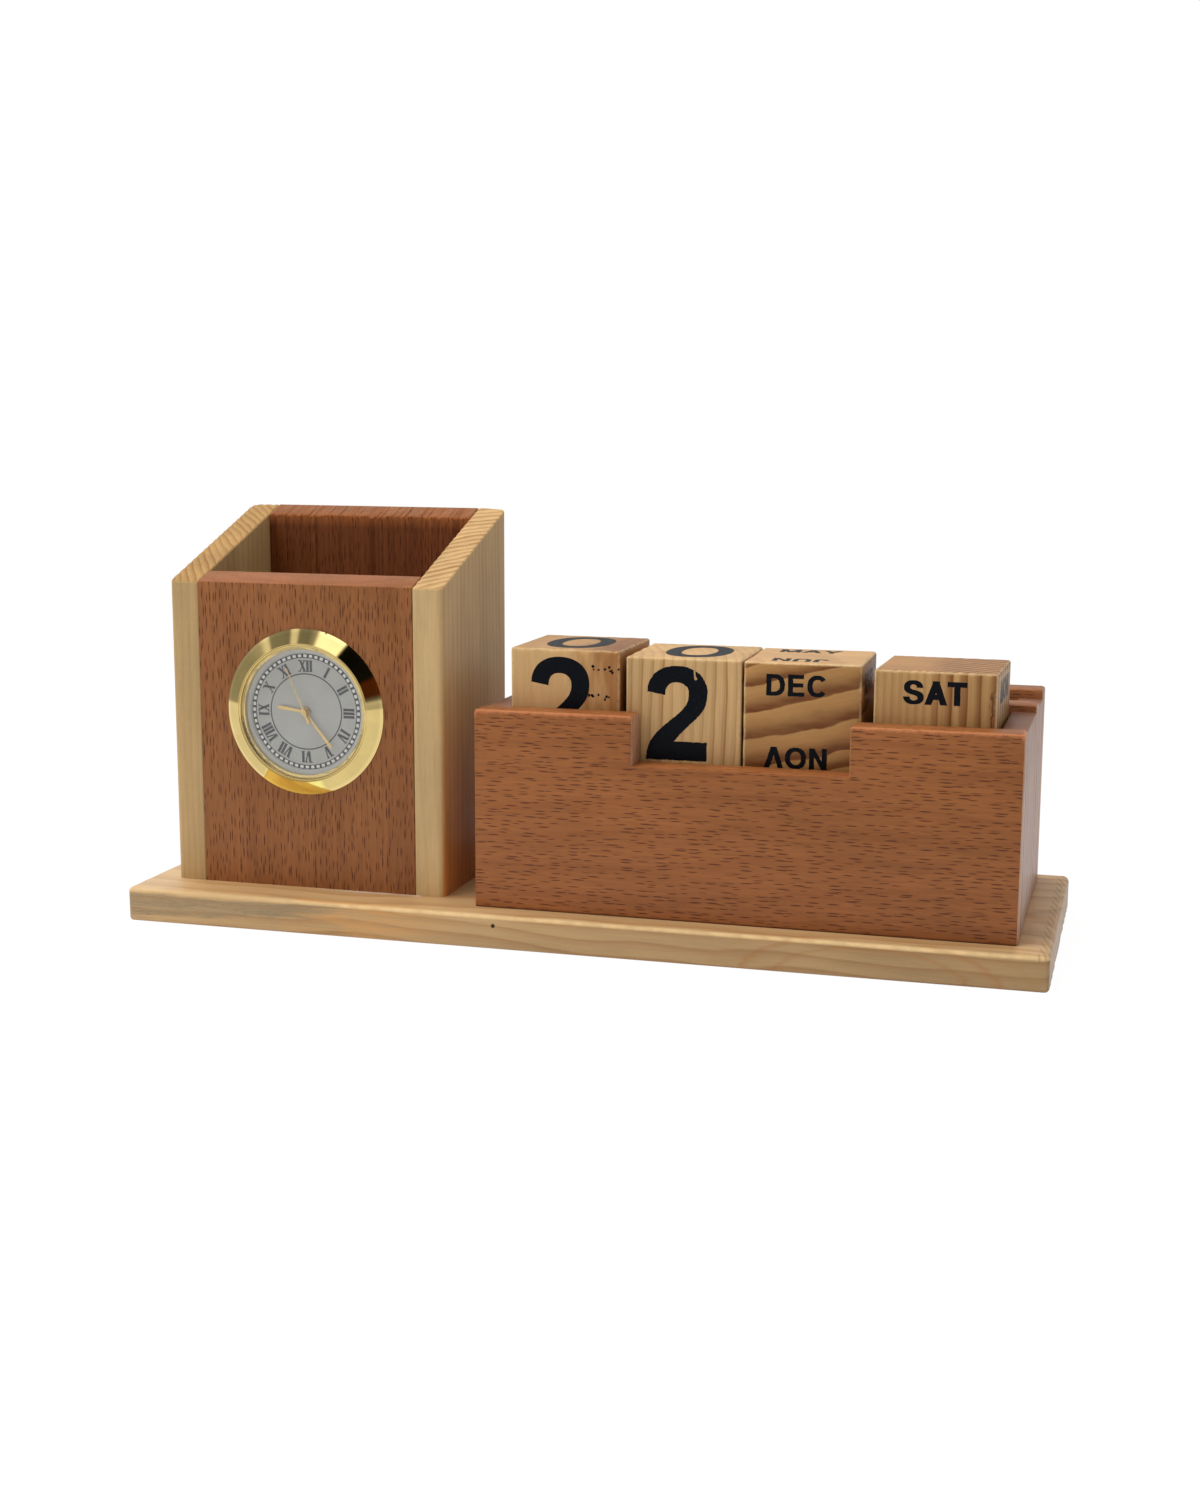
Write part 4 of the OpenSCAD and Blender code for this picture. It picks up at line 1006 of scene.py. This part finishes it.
def glyph(letter, w, h):
    """Width and outlines of a glyph in cap heights, with upright strokes w and level strokes h."""
    wide, slim, top = w * 1.1, w * 0.95, 1 - h

    def stem(x):
        return rect(x, 0, x + w, 1)

    def bar(x0, x1, y):
        return rect(x0, y, x1, y + h)

    def bowl(*oval, ends=(-90, 90)):
        return bow(*oval, *ends, w, h)

    def ring(*oval, ends=(0, 360)):
        return [bowl(*oval, ends=(ends[0], 180)), bowl(*oval, ends=(180, ends[1]))]

    def slash(foot, head, w=w, y0=0):
        return slant(foot, y0, head, 1, w)

    shapes = {
        "0": (0.70, ring(0.35, 0.5, 0.35, 0.5)),
        "1": (0.46, [stem(0.25),
                     [(0, 0.66), (0.3, 0.8), (0.25 + w * 0.4, 1), (0.25, 1), (0, 0.84)]]),
        "2": (0.65, [DIGIT_TWO]),
        "3": (0.66, [bowl(0.31, 0.725, 0.31, 0.275, ends=(-80, 170)),
                     bowl(0.33, 0.29, 0.33, 0.29, ends=(-170, 80)), bar(0.22, 0.42, 0.44)]),
        "4": (0.70, [stem(0.40), bar(0, 0.70, 0.2), slash(0, 0.38, y0=0.3)]),
        "5": (0.66, [bowl(0.32, 0.33, 0.34, 0.33, ends=(-165, 140)),
                     slash(0.03, 0.09, w * 0.9, 0.44), bar(0.09, 0.62, top)]),
        "A": (0.96, [slash(0, 0.36, wide), slash(0.96 - wide, 0.60 - wide, wide),
                     bar(0.2, 0.76, 0.22), rect(0.36, 0.9, 0.60, 1)]),
        "B": (0.84, [stem(0), bowl(0.42, 0.74, 0.38, 0.26), bowl(0.45, 0.285, 0.39, 0.285),
                     bar(0, 0.42, top), bar(0, 0.45, 0.44), bar(0, 0.45, 0)]),
        "C": (0.90, ring(0.46, 0.5, 0.46, 0.5, ends=(38, 322))),
        "D": (0.86, [stem(0), bar(0, 0.38, top), bar(0, 0.38, 0), bowl(0.36, 0.5, 0.50, 0.5)]),
        "E": (0.76, [stem(0), bar(0, 0.76, 0), bar(0, 0.70, 0.52 - h / 2), bar(0, 0.74, top)]),
        "F": (0.70, [stem(0), bar(0, 0.62, 0.42), bar(0, 0.70, top)]),
        "G": (0.94, ring(0.47, 0.5, 0.47, 0.5, ends=(40, 325)) + [
              rect(0.94 - w, 0.08, 0.94, 0.52), bar(0.5, 0.94, 0.36)]),
        "H": (0.82, [stem(0), stem(0.82 - w), bar(0, 0.82, 0.42)]),
        "I": (0.21, [stem(0)]),
        "J": (0.66, [rect(0.66 - w, 0.32, 0.66, 1), bowl(0.33, 0.33, 0.33, 0.33, ends=(180, 360))]),
        "L": (0.70, [stem(0), bar(0, 0.70, 0)]),
        "M": (0.98, [rect(0, 0, slim, 1), rect(0.98 - slim, 0, 0.98, 1),
                     slash(0.49 - w / 2, 0.02), slash(0.49 - w / 2, 0.96 - w)]),
        "N": (0.82, [stem(0), stem(0.82 - w), slash(0.82 - w, 0)]),
        "O": (0.98, ring(0.49, 0.5, 0.49, 0.5)),
        "P": (0.80, [stem(0), bar(0, 0.45, top), bar(0, 0.45, 0.36), bowl(0.43, 0.68, 0.37, 0.32)]),
        "R": (0.86, [stem(0), bar(0, 0.48, top), bar(0, 0.48, 0.40), bowl(0.46, 0.70, 0.37, 0.30),
                     slant(0.62, 0, 0.38, 0.5, wide)]),
        "S": (0.82, [[(x + side * (w - 0.2) / 2, y) for x, y in LETTER_S] for side in (-1, 1)]),
        "T": (0.82, [stem(0.41 - w / 2), bar(0, 0.82, top)]),
        "U": (0.82, [rect(0, 0.38, w, 1), rect(0.82 - w, 0.38, 0.82, 1),
                     bowl(0.41, 0.4, 0.41, 0.4, ends=(180, 360))]),
        "V": (0.92, [slash(0.46 - wide / 2, 0, wide), slash(0.46 - wide / 2, 0.92 - wide, wide)]),
        "W": (1.30, [slash(0.22, 0), slash(0.22, 0.65 - w / 2), slash(1.08 - w, 0.65 - w / 2),
                     slash(1.08 - w, 1.30 - w)]),
        "Y": (0.92, [rect(0.46 - w / 2, 0, 0.46 + w / 2, 0.42),
                     slash(0.46 - wide / 2, 0, wide, 0.38),
                     slash(0.46 - wide / 2, 0.92 - wide, wide, 0.38)]),
    }
    return shapes[letter]


OPEN_SIDED = "AVTWY"            # letters that stand closer to their neighbours
CLOSER = 0.07


def inside(outline, point):
    """Whether a point lies in a closed outline."""
    hit = False
    x, y = point
    for (x0, y0), (x1, y1) in zip(outline, outline[1:] + outline[:1]):
        if (y0 > y) != (y1 > y) and x < (x1 - x0) * (y - y0) / (y1 - y0) + x0:
            hit = not hit
    return hit


INK_SINK = 0.4                  # how far a print goes into its face, in its own thicknesses


def union_mesh(bm, outlines, to_point, lift, gaps=()):
    """Adds thin closed slabs: the union of the outlines, less the gaps, with no inner edges."""
    points, edges = [], []
    for outline in [*outlines, *gaps]:
        start = len(points)
        points += [Vector(p) for p in outline]
        count = len(outline)
        edges += [(start + i, start + (i + 1) % count) for i in range(count)]
    flat, _, faces, *_ = geometry.delaunay_2d_cdt(points, edges, [], 0, 1e-6)
    kept = []
    for face in faces:
        centre = sum((flat[i] for i in face), Vector((0, 0))) / len(face)
        if any(inside(o, centre) for o in outlines) and not any(inside(o, centre) for o in gaps):
            kept.append(list(face))
    used = sorted({i for face in kept for i in face})
    top = {i: bm.verts.new(to_point(*flat[i]) + lift) for i in used}
    bottom = {i: bm.verts.new(to_point(*flat[i]) - lift * INK_SINK) for i in used}
    rim = {}
    for face in kept:
        bm.faces.new([top[i] for i in face])
        bm.faces.new([bottom[i] for i in reversed(face)])
        for i, j in zip(face, face[1:] + face[:1]):
            rim[(i, j)] = True
    for i, j in rim:
        if (j, i) not in rim:
            bm.faces.new((top[j], top[i], bottom[i], bottom[j]))


def text_outlines(text, cap, w, h, gap):
    """Outlines of a word in mm, centred on the origin, and its cap height."""
    shapes, x = [], 0.0
    for i, letter in enumerate(text):
        width, outlines = glyph(letter, w, h)
        shapes += [[((px + x) * cap, (py - 0.5) * cap) for px, py in o] for o in outlines]
        x += width
        if i < len(text) - 1:
            x += gap - CLOSER * sum(side in OPEN_SIDED for side in text[i:i + 2])
    half = x / 2 * cap
    return [[(px - half, py) for px, py in o] for o in shapes]


# ---- calendar blocks ----

BLOCK_ROUND_MM = 0.55
SCALLOP_MM = 0.16               # how far the soft rings are worn down at a block's edges
SCALLOP_REACH_MM = 0.9
BLOCK_STEPS_MM = (0.5, 0.6, 1.2)        # between the cuts along each axis
INK_MM = 0.025                  # thickness of the printed ink
# Right and up on each face, as it is read
FACES = {
    "front": ((1, 0, 0), (0, 0, 1)), "back": ((-1, 0, 0), (0, 0, 1)),
    "right": ((0, 1, 0), (0, 0, 1)), "left": ((0, -1, 0), (0, 0, 1)),
    "top": ((1, 0, 0), (0, 1, 0)), "under": ((1, 0, 0), (0, -1, 0)),
}
FIGURE_CAP_MM = 20.3
FIGURE_W, FIGURE_H = 0.165, 0.165
MONTH_STYLE = (4.55, 0.235, 0.19, 0.14)      # cap height in mm, strokes and gap in cap heights
DAY_STYLE = (4.9, 0.265, 0.215, 0.13)
WORD_RISE_MM = 7.7              # from the middle of a face to the middle of each word
WORD_SHIFT_MM = {"month_block": -1.2, "weekday_block": 0.0}
FIGURE_SHIFT_MM = {"tens_block": (-1.1, 1.2), "units_block": (-1.3, 0.7)}
TOP_SHIFT_MM = {"tens_block": (0.0, 0.0), "units_block": (0.9, 0.0)}
# Chip in the ink at the top right of the front figure of the units, in cap heights
INK_CHIP = ((0.498, 0.955), (0.516, 0.957), (0.522, 0.90), (0.540, 0.87), (0.520, 0.852),
            (0.505, 0.87))
RAGGED_MM = {"tens_block": 0.01, "units_block": 0.07, "month_block": 0.05, "weekday_block": 0.02}
# Clusters of ink specks on the front of the tens block: mm right and down from its upper left
# corner, and how many
SPECK_CLUSTERS = ((18.4, 3.3, 3), (20.9, 3.6, 2), (22.6, 4.0, 5), (18.8, 9.9, 4), (21.9, 10.4, 3))
SPECK_SPREAD_MM = 0.55
SPECK_R_MM = (0.16, 0.32)
SPECK_SHAPE = (0.9, 1.7)        # least and most share of its radius at each of a speck's points
SPECK_POINTS = 8
DIGIT_PRINT = {
    "tens_block": {"front": "2", "top": "0", "right": "1", "back": "3", "left": "0", "under": "1"},
    "units_block": {"front": "2", "top": "0", "right": "3", "back": "5", "left": "4", "under": "1"},
}
# Upper word, and lower word printed upside down
WORD_PRINT = {
    "month_block": {"front": ("DEC", "NOV"), "top": ("MAY", "JUN"), "right": ("MAR", "APR"),
                    "back": ("JAN", "FEB"), "left": ("JUL", "AUG"), "under": ("SEP", "OCT")},
    "weekday_block": {"front": ("SAT", "SUN"), "right": ("MON", "TUE"), "left": ("WED", "THU"),
                      "back": ("FRI", "SAT")},
}


def block_frame(node):
    """Centre of a block and its turn about Z."""
    low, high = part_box(node)
    return (low + high) / 2, Matrix.Rotation(radians(BLOCK_SIZES[node][3]), 3, "Z")


def face_frame(node, face):
    """Function from mm right and up on a face to a point on it, and the face's outward normal."""
    centre, turn = block_frame(node)
    right, up = (turn @ Vector(axis) for axis in FACES[face])
    normal = right.cross(up)
    half = abs(Vector(FACES[face][0]).cross(Vector(FACES[face][1])).dot(
        Vector(BLOCK_SIZES[node][:3]))) / 2 * MM
    return lambda u, v: centre + normal * half + right * u * MM + up * v * MM, normal


def make_block(node, material, body, grain):
    centre, turn = block_frame(node)
    half = Vector(BLOCK_SIZES[node][:3]) / 2 * MM
    bm = box_mesh(-half, half)
    round_edges(bm, BLOCK_ROUND_MM, 4)
    for axis, step in enumerate(BLOCK_STEPS_MM):
        slice_along(bm, axis, step)
    for v in bm.verts:
        gaps = sorted(half[i] - abs(v.co[i]) for i in range(3))
        edge = smooth_step(1 - gaps[1] / (SCALLOP_REACH_MM * MM))
        near = [half[i] - abs(v.co[i]) <= gaps[1] + 1e-7 for i in range(3)]
        inward = Vector([-math.copysign(near[i], v.co[i]) for i in range(3)]).normalized()
        v.co = centre + turn @ v.co
        v.co += turn @ inward * edge * SCALLOP_MM * MM * ridge(grain, v.co)
    add_piece(node.replace("block", "cube"), bm, material, body, (node,))


def ragged(outline, amount, draw, step=0.35):
    """The outline in short steps, with its points moved a little, as ink that bled."""
    points = []
    for (x0, y0), (x1, y1) in zip(outline, outline[1:] + outline[:1]):
        count = max(1, round(hypot(x1 - x0, y1 - y0) / step))
        for i in range(count):
            t = i / count
            points.append((x0 + (x1 - x0) * t + draw.uniform(-amount, amount),
                           y0 + (y1 - y0) * t + draw.uniform(-amount, amount)))
    return points


def make_digits(node, body):
    bm = bmesh.new()
    draw = random.Random(7)
    for face, digit in DIGIT_PRINT[node].items():
        to_point, normal = face_frame(node, face)
        x, y = {"front": FIGURE_SHIFT_MM[node], "top": TOP_SHIFT_MM[node]}.get(face, (0.0, 0.0))
        outlines = text_outlines(digit, FIGURE_CAP_MM, FIGURE_W, FIGURE_H, 0.1)
        outlines = [ragged(o, RAGGED_MM[node], draw) for o in outlines]
        gaps = []
        if node == "units_block" and face == "front":
            half = glyph(digit, FIGURE_W, FIGURE_H)[0] / 2
            gaps = [[((px - half) * FIGURE_CAP_MM, (py - 0.5) * FIGURE_CAP_MM)
                     for px, py in INK_CHIP]]
        moved = [[[(px + x, py + y) for px, py in o] for o in group] for group in (outlines, gaps)]
        union_mesh(bm, moved[0], to_point, normal * INK_MM * MM, moved[1])
    if node == "tens_block":
        to_point, normal = face_frame(node, "front")
        wide, _, tall, _ = BLOCK_SIZES[node]
        specks = [(right, down) for right, down, count in SPECK_CLUSTERS for i in range(count)]
        for right, down in specks:
            x = right - wide / 2 + draw.gauss(0, SPECK_SPREAD_MM)
            y = tall / 2 - down + draw.gauss(0, SPECK_SPREAD_MM)
            size = draw.uniform(*SPECK_R_MM)
            spot = [(x + size * draw.uniform(*SPECK_SHAPE) * cos(a),
                     y + size * draw.uniform(*SPECK_SHAPE) * sin(a))
                    for a in (2 * pi * i / SPECK_POINTS for i in range(SPECK_POINTS))]
            union_mesh(bm, [spot], to_point, normal * INK_MM * MM)
    add_piece(node.replace("block", "figures"), bm, block_ink, body)


def make_words(node, body):
    bm = bmesh.new()
    draw = random.Random(8)
    style = MONTH_STYLE if node == "month_block" else DAY_STYLE
    shift = WORD_SHIFT_MM[node]
    for face, words in WORD_PRINT[node].items():
        to_point, normal = face_frame(node, face)
        for word, place in zip(words, (1, -1)):
            outlines = [ragged(o, RAGGED_MM[node], draw) for o in text_outlines(word, *style)]
            outlines = [[(x * place + shift, y * place + place * WORD_RISE_MM) for x, y in o]
                        for o in outlines]
            union_mesh(bm, outlines, to_point, normal * INK_MM * MM)
    add_piece(node.replace("block", "words"), bm, block_ink, body)


# ---- clock ----

low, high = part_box("clock_bezel")
clock_axis = Vector(((low.x + high.x) / 2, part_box("cup_front_panel")[0].y, (low.z + high.z) / 2))


def on_clock(x, y, z):
    """A point of the clock in mm: right and up on the dial, forward of the wood."""
    return clock_axis + Vector((x, -z, y)) * MM


def lathe(profile, segments=192):
    """A closed ring turned about the clock's axis from (radius, level) points in mm."""
    bm = bmesh.new()
    rings = []
    for i in range(segments):
        a = 2 * pi * i / segments
        rings.append([bm.verts.new(on_clock(r * sin(a), r * cos(a), z)) for r, z in profile])
    count = len(profile)
    for i in range(segments):
        near, far = rings[i], rings[(i + 1) % segments]
        for j in range(count):
            k = (j + 1) % count
            bm.faces.new((near[j], near[k], far[k], far[j]))
    return bm


CONE_FOOT_MM = (18.66, 0.24)    # radius and level of the bezel's cone at its outer edge
CONE_TOP_MM = (15.50, 2.03)
CONE = Vector(CONE_TOP_MM) - Vector(CONE_FOOT_MM)
BEZEL_PROFILE = [
    (18.75, 0.0), (18.75, 0.05), (18.72, 0.10), CONE_FOOT_MM,
    tuple(Vector(CONE_FOOT_MM) + CONE * 0.03), tuple(Vector(CONE_FOOT_MM) + CONE * 0.97),
    CONE_TOP_MM, (15.44, 2.02), (15.40, 1.97), (15.34, 1.95), (15.28, 1.98), (15.22, 2.05),
    (15.12, 2.09), (15.02, 2.08), (14.92, 2.03), (14.85, 1.94), (14.82, 1.84), (14.82, 1.3),
    (14.15, 1.3), (14.15, 0.1), (15.9, 0.1), (15.9, -1.2), (16.35, -1.2), (16.35, 0.0),
]
CLOCK_SHARP_DEG = 24            # least angle that shows as an edge on the bezel and lens
CATCH_DEG = (17, 83)            # small nubs at the bezel's edge, clockwise from twelve
CATCH_MM = (18.5, 0.3)          # their distance from the axis and level
CATCH_R = 0.25
LENS_LEVELS_MM = ((14.7, 1.3), (14.8, 1.36), (14.8, 1.82), (14.72, 1.9))    # radius and level
LENS_POINTS = 96


def make_clock():
    bezel = lathe(BEZEL_PROFILE)
    for degrees in CATCH_DEG:
        a = radians(degrees)
        at = on_clock(CATCH_MM[0] * sin(a), CATCH_MM[0] * cos(a), CATCH_MM[1])
        bmesh.ops.create_icosphere(bezel, subdivisions=2, radius=CATCH_R * MM,
                                   matrix=Matrix.Translation(at))
    add_piece("bezel_ring", bezel, bezel_gold, "clock", ("clock_bezel",),
              CLOCK_SHARP_DEG)
    lens = bmesh.new()
    turns = [2 * pi * i / LENS_POINTS for i in range(LENS_POINTS)]
    discs = [[lens.verts.new(on_clock(r * sin(a), r * cos(a), z)) for a in turns]
             for r, z in LENS_LEVELS_MM]
    for near, far in zip(discs, discs[1:]):
        for i in range(LENS_POINTS):
            j = (i + 1) % LENS_POINTS
            lens.faces.new((near[i], near[j], far[j], far[i]))
    lens.faces.new(discs[0])
    lens.faces.new(list(reversed(discs[-1])))
    add_piece("lens_disc", lens, lens_clear, "clock", ("clock_lens",),
              CLOCK_SHARP_DEG)
    make_dial_print()


DIAL_FACE_MM = -0.35
PRINT_MM = 0.012
TRACK_IN_MM, TRACK_OUT_MM = 12.05, 13.05
SQUARE_IN_MM, SQUARE_OUT_MM = 12.26, 12.86
SQUARE_SHARE = 0.58
CIRCLE_MM, CIRCLE_W_MM = 8.5, 0.28
NUMERAL_FOOT_MM = 8.95
NUMERAL_H_MM = 2.6
THICK, THIN, SERIF = 0.225, 0.115, 0.09

NUMERALS = ("XII", "I", "II", "III", "IV", "V", "VI", "VII", "VIII", "IX", "X", "XI")
# Width of each letter in cap heights, and its outlines
NUMERAL_GLYPHS = {
    "I": (0.30, [rect(0.15 - THICK / 2, 0, 0.15 + THICK / 2, 1), rect(0.02, 0, 0.28, SERIF),
                 rect(0.02, 1 - SERIF, 0.28, 1)]),
    "V": (0.70, [slant(0.33 - THICK / 2, 0, 0.10, 1, THICK), slant(0.345, 0, 0.56, 1, THIN),
                 rect(0.0, 1 - SERIF, 0.33, 1), rect(0.47, 1 - SERIF, 0.70, 1)]),
    "X": (0.70, [slant(0.50, 0, 0.08, 1, THICK), slant(0.10, 0, 0.55, 1, THIN),
                 rect(0.0, 0, 0.26, SERIF), rect(0.42, 0, 0.70, SERIF),
                 rect(0.0, 1 - SERIF, 0.31, 1), rect(0.46, 1 - SERIF, 0.70, 1)]),
}
NUMERAL_STEP = 0.01
LOW_PRINT_MM = DIAL_FACE_MM - 0.01


def make_dial_print():
    def at_dial(x, y):
        return on_clock(x, y, DIAL_FACE_MM)

    ink = bmesh.new()
    z0, z1 = LOW_PRINT_MM, DIAL_FACE_MM + PRINT_MM
    for r_in, r_out in ((TRACK_IN_MM, TRACK_OUT_MM),
                        (CIRCLE_MM - CIRCLE_W_MM / 2, CIRCLE_MM + CIRCLE_W_MM / 2)):
        part = lathe([(r_in, z0), (r_out, z0), (r_out, z1), (r_in, z1)])
        mesh = mesh_from("annulus", part)
        ink.from_mesh(mesh)
        bpy.data.meshes.remove(mesh)
    for hour, numeral in enumerate(NUMERALS):
        outlines, x = [], 0.0
        for letter in numeral:
            width, shapes = NUMERAL_GLYPHS[letter]
            outlines += [[(px + x, py) for px, py in o] for o in shapes]
            x += width + NUMERAL_STEP
        half = (x - NUMERAL_STEP) / 2
        turn = Matrix.Rotation(-radians(30 * hour), 2)
        placed = []
        for o in outlines:
            points = [Vector(((px - half) * NUMERAL_H_MM, NUMERAL_FOOT_MM + py * NUMERAL_H_MM))
                      for px, py in o]
            placed.append([tuple(turn @ p) for p in points])
        union_mesh(ink, placed, at_dial, AHEAD * PRINT_MM * MM)
    add_piece("dial_figures", ink, dial_ink, "clock")
    squares = bmesh.new()
    for minute in range(60):
        middle = radians(6 * minute)
        half = radians(3) * SQUARE_SHARE
        outline = [(r * sin(a), r * cos(a)) for r, a in (
            (SQUARE_IN_MM, middle - half), (SQUARE_OUT_MM, middle - half),
            (SQUARE_OUT_MM, middle + half), (SQUARE_IN_MM, middle + half))]
        union_mesh(squares, [outline], at_dial, AHEAD * 2 * PRINT_MM * MM)
    add_piece("dial_squares", squares, square_white, "clock")


# ---- build ----

make_base()
make_cup_side("cup_left_side", CUP_SIDE_GRAIN, left_pine)
make_cup_side("cup_right_side", CUP_SIDE_GRAIN_R, right_pine)
make_cup_front()
make_cup_back()
make_tray()
for body, material, grain in (("tens", tens_pine, TENS_GRAIN), ("units", units_pine, UNITS_GRAIN),
                              ("month", month_pine, MONTH_GRAIN),
                              ("weekday", weekday_pine, WEEKDAY_GRAIN)):
    node = body + "_block"
    make_block(node, material, body, grain)
    if node in DIGIT_PRINT:
        make_digits(node, body)
    else:
        make_words(node, body)
make_clock()

# Materials of the CAD nodes that stay: kind, name, colour and roughness, and the nodes
KEPT_NODES = (
    (METAL, "zinc", (176, 180, 184), 0.38, "base_screws"),
    (PLASTIC, "case_plastic", (58, 58, 60), 0.5, "clock_case movement_holder"),
    (PLASTIC, "grip_rubber", (44, 44, 46), 0.7, "grip_ring"),
    (PLASTIC, "ring_white", (196, 196, 194), 0.45, "dial_ring"),
    (METAL, "hand_gold", (226, 192, 120), 0.3, "second_hand minute_hand hour_hand"),
    (PLASTIC, "board_green", (40, 104, 72), 0.4, "circuit_board"),
    (PLASTIC, "chip_plastic", (30, 30, 33), 0.45, "timing_chip"),
    (METAL, "magnet_grey", (92, 94, 100), 0.45, "rotor_magnet"),
    (METAL, "brass", (206, 176, 104), 0.28, "main_plate train_bridge seconds_wheel centre_wheel "
     "hour_wheel minute_wheel third_wheel fifth_wheel rotor"),
    (METAL, "steel", (190, 192, 196), 0.3, "back_cover movement_screws battery battery_clip "
     "coil_core stator quartz_crystal setting_lever setting_stem clutch_pinion crown"),
)
kept = [(surface(kind, name, srgb(*colour), rough), nodes)
        for kind, name, colour, rough, nodes in KEPT_NODES]
kept += [(surface(PLASTIC, "dial_silver", srgb(172, 172, 166), 0.5, 0.9), "dial"),
         (surface(METAL, "copper", srgb(184, 104, 66), 0.35, 0.1), "coil_winding")]
for material, nodes in kept:
    for node in nodes.split():
        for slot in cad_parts[node].material_slots:
            slot.material = material

# ---- floor, world and lamps ----

FLOOR_SIZE = 1.2
FLOOR_GREY, FLOOR_GLOW = 0.82, 1.04
FLOOR_SEEN = 0.93               # share of the glow in what the camera sees


def add_floor():
    bm = bmesh.new()
    bmesh.ops.create_grid(bm, x_segments=1, y_segments=1, size=FLOOR_SIZE / 2)
    mesh = mesh_from("floor", bm)
    material = bpy.data.materials.new("floor_white")
    material.use_nodes = True
    g = Graph(material.node_tree)
    paths = g.add("LightPath")
    seen = g.plus(paths.outputs["Is Camera Ray"], paths.outputs["Is Glossy Ray"])
    seen = g.plus(seen, paths.outputs["Is Transmission Ray"], clamp=True)
    paper = g.add("BsdfDiffuse", {"Color": (FLOOR_GREY,) * 3})
    glow = g.add("Emission", {"Color": (1, 1, 1), "Strength": FLOOR_GLOW})
    both = g.add("MixShader", {0: g.times(seen, FLOOR_SEEN), 1: paper.outputs[0],
                               2: glow.outputs[0]})
    g.put(g.add("OutputMaterial").inputs["Surface"], both.outputs[0])
    mesh.materials.append(material)
    add_object("floor", mesh)


# Tone that the bezel mirrors at each angle clockwise from twelve, in degrees
BEZEL_MIRROR = (
    (-88, 1.1), (-86, 1.2), (-84, 0.42), (-82, 0.42), (-60, 0.37), (-47, 0.38), (-40, 0.46),
    (-36, 0.52), (-31, 1.05), (-28, 0.95), (-26, 0.31), (-10, 0.25), (-8, 0.95), (-4, 0.95),
    (-2, 0.26), (6, 0.24), (11, 0.45), (14, 1.9), (33, 1.9), (34, 0.003), (62, 0.006),
    (64, (0.085, 0.02, 0.004)), (75, (0.075, 0.02, 0.005)), (78, 0.16), (80, 0.75), (82, 0.60),
    (90, 0.62), (96, 0.78), (120, 0.90), (240, 1.05),
)
CONE_TILT = math.atan2(CONE.y, -CONE.x)
CONE_MIDDLE_MM = 17.4           # radius at which the mirrored directions are taken


def add_world():
    """White surroundings, with the dark and bright cards that the bezel's cone mirrors."""
    axis = (clock_axis - CAMERA_AT).normalized()
    axis = axis - 2 * axis.dot(AHEAD) * AHEAD
    up = (UP - axis * UP.dot(axis)).normalized()
    side = up.cross(axis).normalized()

    def mirrored(degrees):
        a = radians(degrees)
        ring = RIGHT * sin(a) + UP * cos(a)
        point = clock_axis + ring * CONE_MIDDLE_MM * MM
        normal = AHEAD * cos(CONE_TILT) + ring * sin(CONE_TILT)
        ray = (point - CAMERA_AT).normalized()
        ray = ray - 2 * ray.dot(normal) * normal
        return math.degrees(math.atan2(ray.dot(side), ray.dot(up))), ray.dot(axis)

    if mirrored(90)[0] < 0:
        side = -side
    world = bpy.data.worlds.new("studio")
    world.use_nodes = True
    bpy.context.scene.world = world
    g = Graph(world.node_tree)
    way = g.add("TexCoord").outputs["Generated"]
    height = g.dot(way, UP)
    room = g.ramp(g.remap(height, -1, 1), ((0.0, 0.30), (0.48, 0.34), (0.75, 0.40), (1.0, 0.60)))
    turn = g.math("DEGREES", g.math("ARCTAN2", g.dot(way, side), g.dot(way, up)))
    share = g.remap(turn, -180, 180)
    cards = g.ramp(share, sorted(((mirrored(degrees)[0] / 360 + 0.5) % 1.0, tone)
                                 for degrees, tone in BEZEL_MIRROR))
    lean = g.dot(way, axis)
    leans = [mirrored(a)[1] for a in range(0, 360, 15)]
    near = g.times(g.remap(lean, min(leans) - 0.10, min(leans) - 0.05),
                   g.remap(lean, max(leans) + 0.05, max(leans) + 0.10, 1, 0))
    paths = g.add("LightPath")
    white = g.tint(room, (1.5, 1.5, 1.5))
    mirror = g.mix(near, white, cards)
    lit = g.mix(paths.outputs["Is Glossy Ray"], room, mirror)
    seen = g.plus(paths.outputs["Is Camera Ray"], paths.outputs["Is Transmission Ray"], clamp=True)
    colour = g.mix(seen, lit, (1, 1, 1))
    background = g.add("Background", {"Color": colour, "Strength": 1.0})
    g.put(g.add("OutputWorld").inputs["Surface"], background.outputs[0])


def add_lamp(name, at, aim, size, watts):
    data = bpy.data.lights.new(name, "AREA")
    data.shape = "SQUARE"
    data.size = size
    data.energy = watts
    lamp = add_object(name, data)
    lamp.location = at
    lamp.rotation_euler = (Vector(aim) - Vector(at)).to_track_quat("-Z", "Y").to_euler()
    lamp.visible_glossy = False


add_floor()
add_world()
add_lamp("key", (-0.40, -0.12, 1.2), (0, 0, 0.03), 0.8, 12.0)
add_lamp("fill", (-0.9, -1.0, 0.5), (0, 0, 0.03), 0.9, 2.0)
bpy.context.scene.view_settings.view_transform = "Standard"
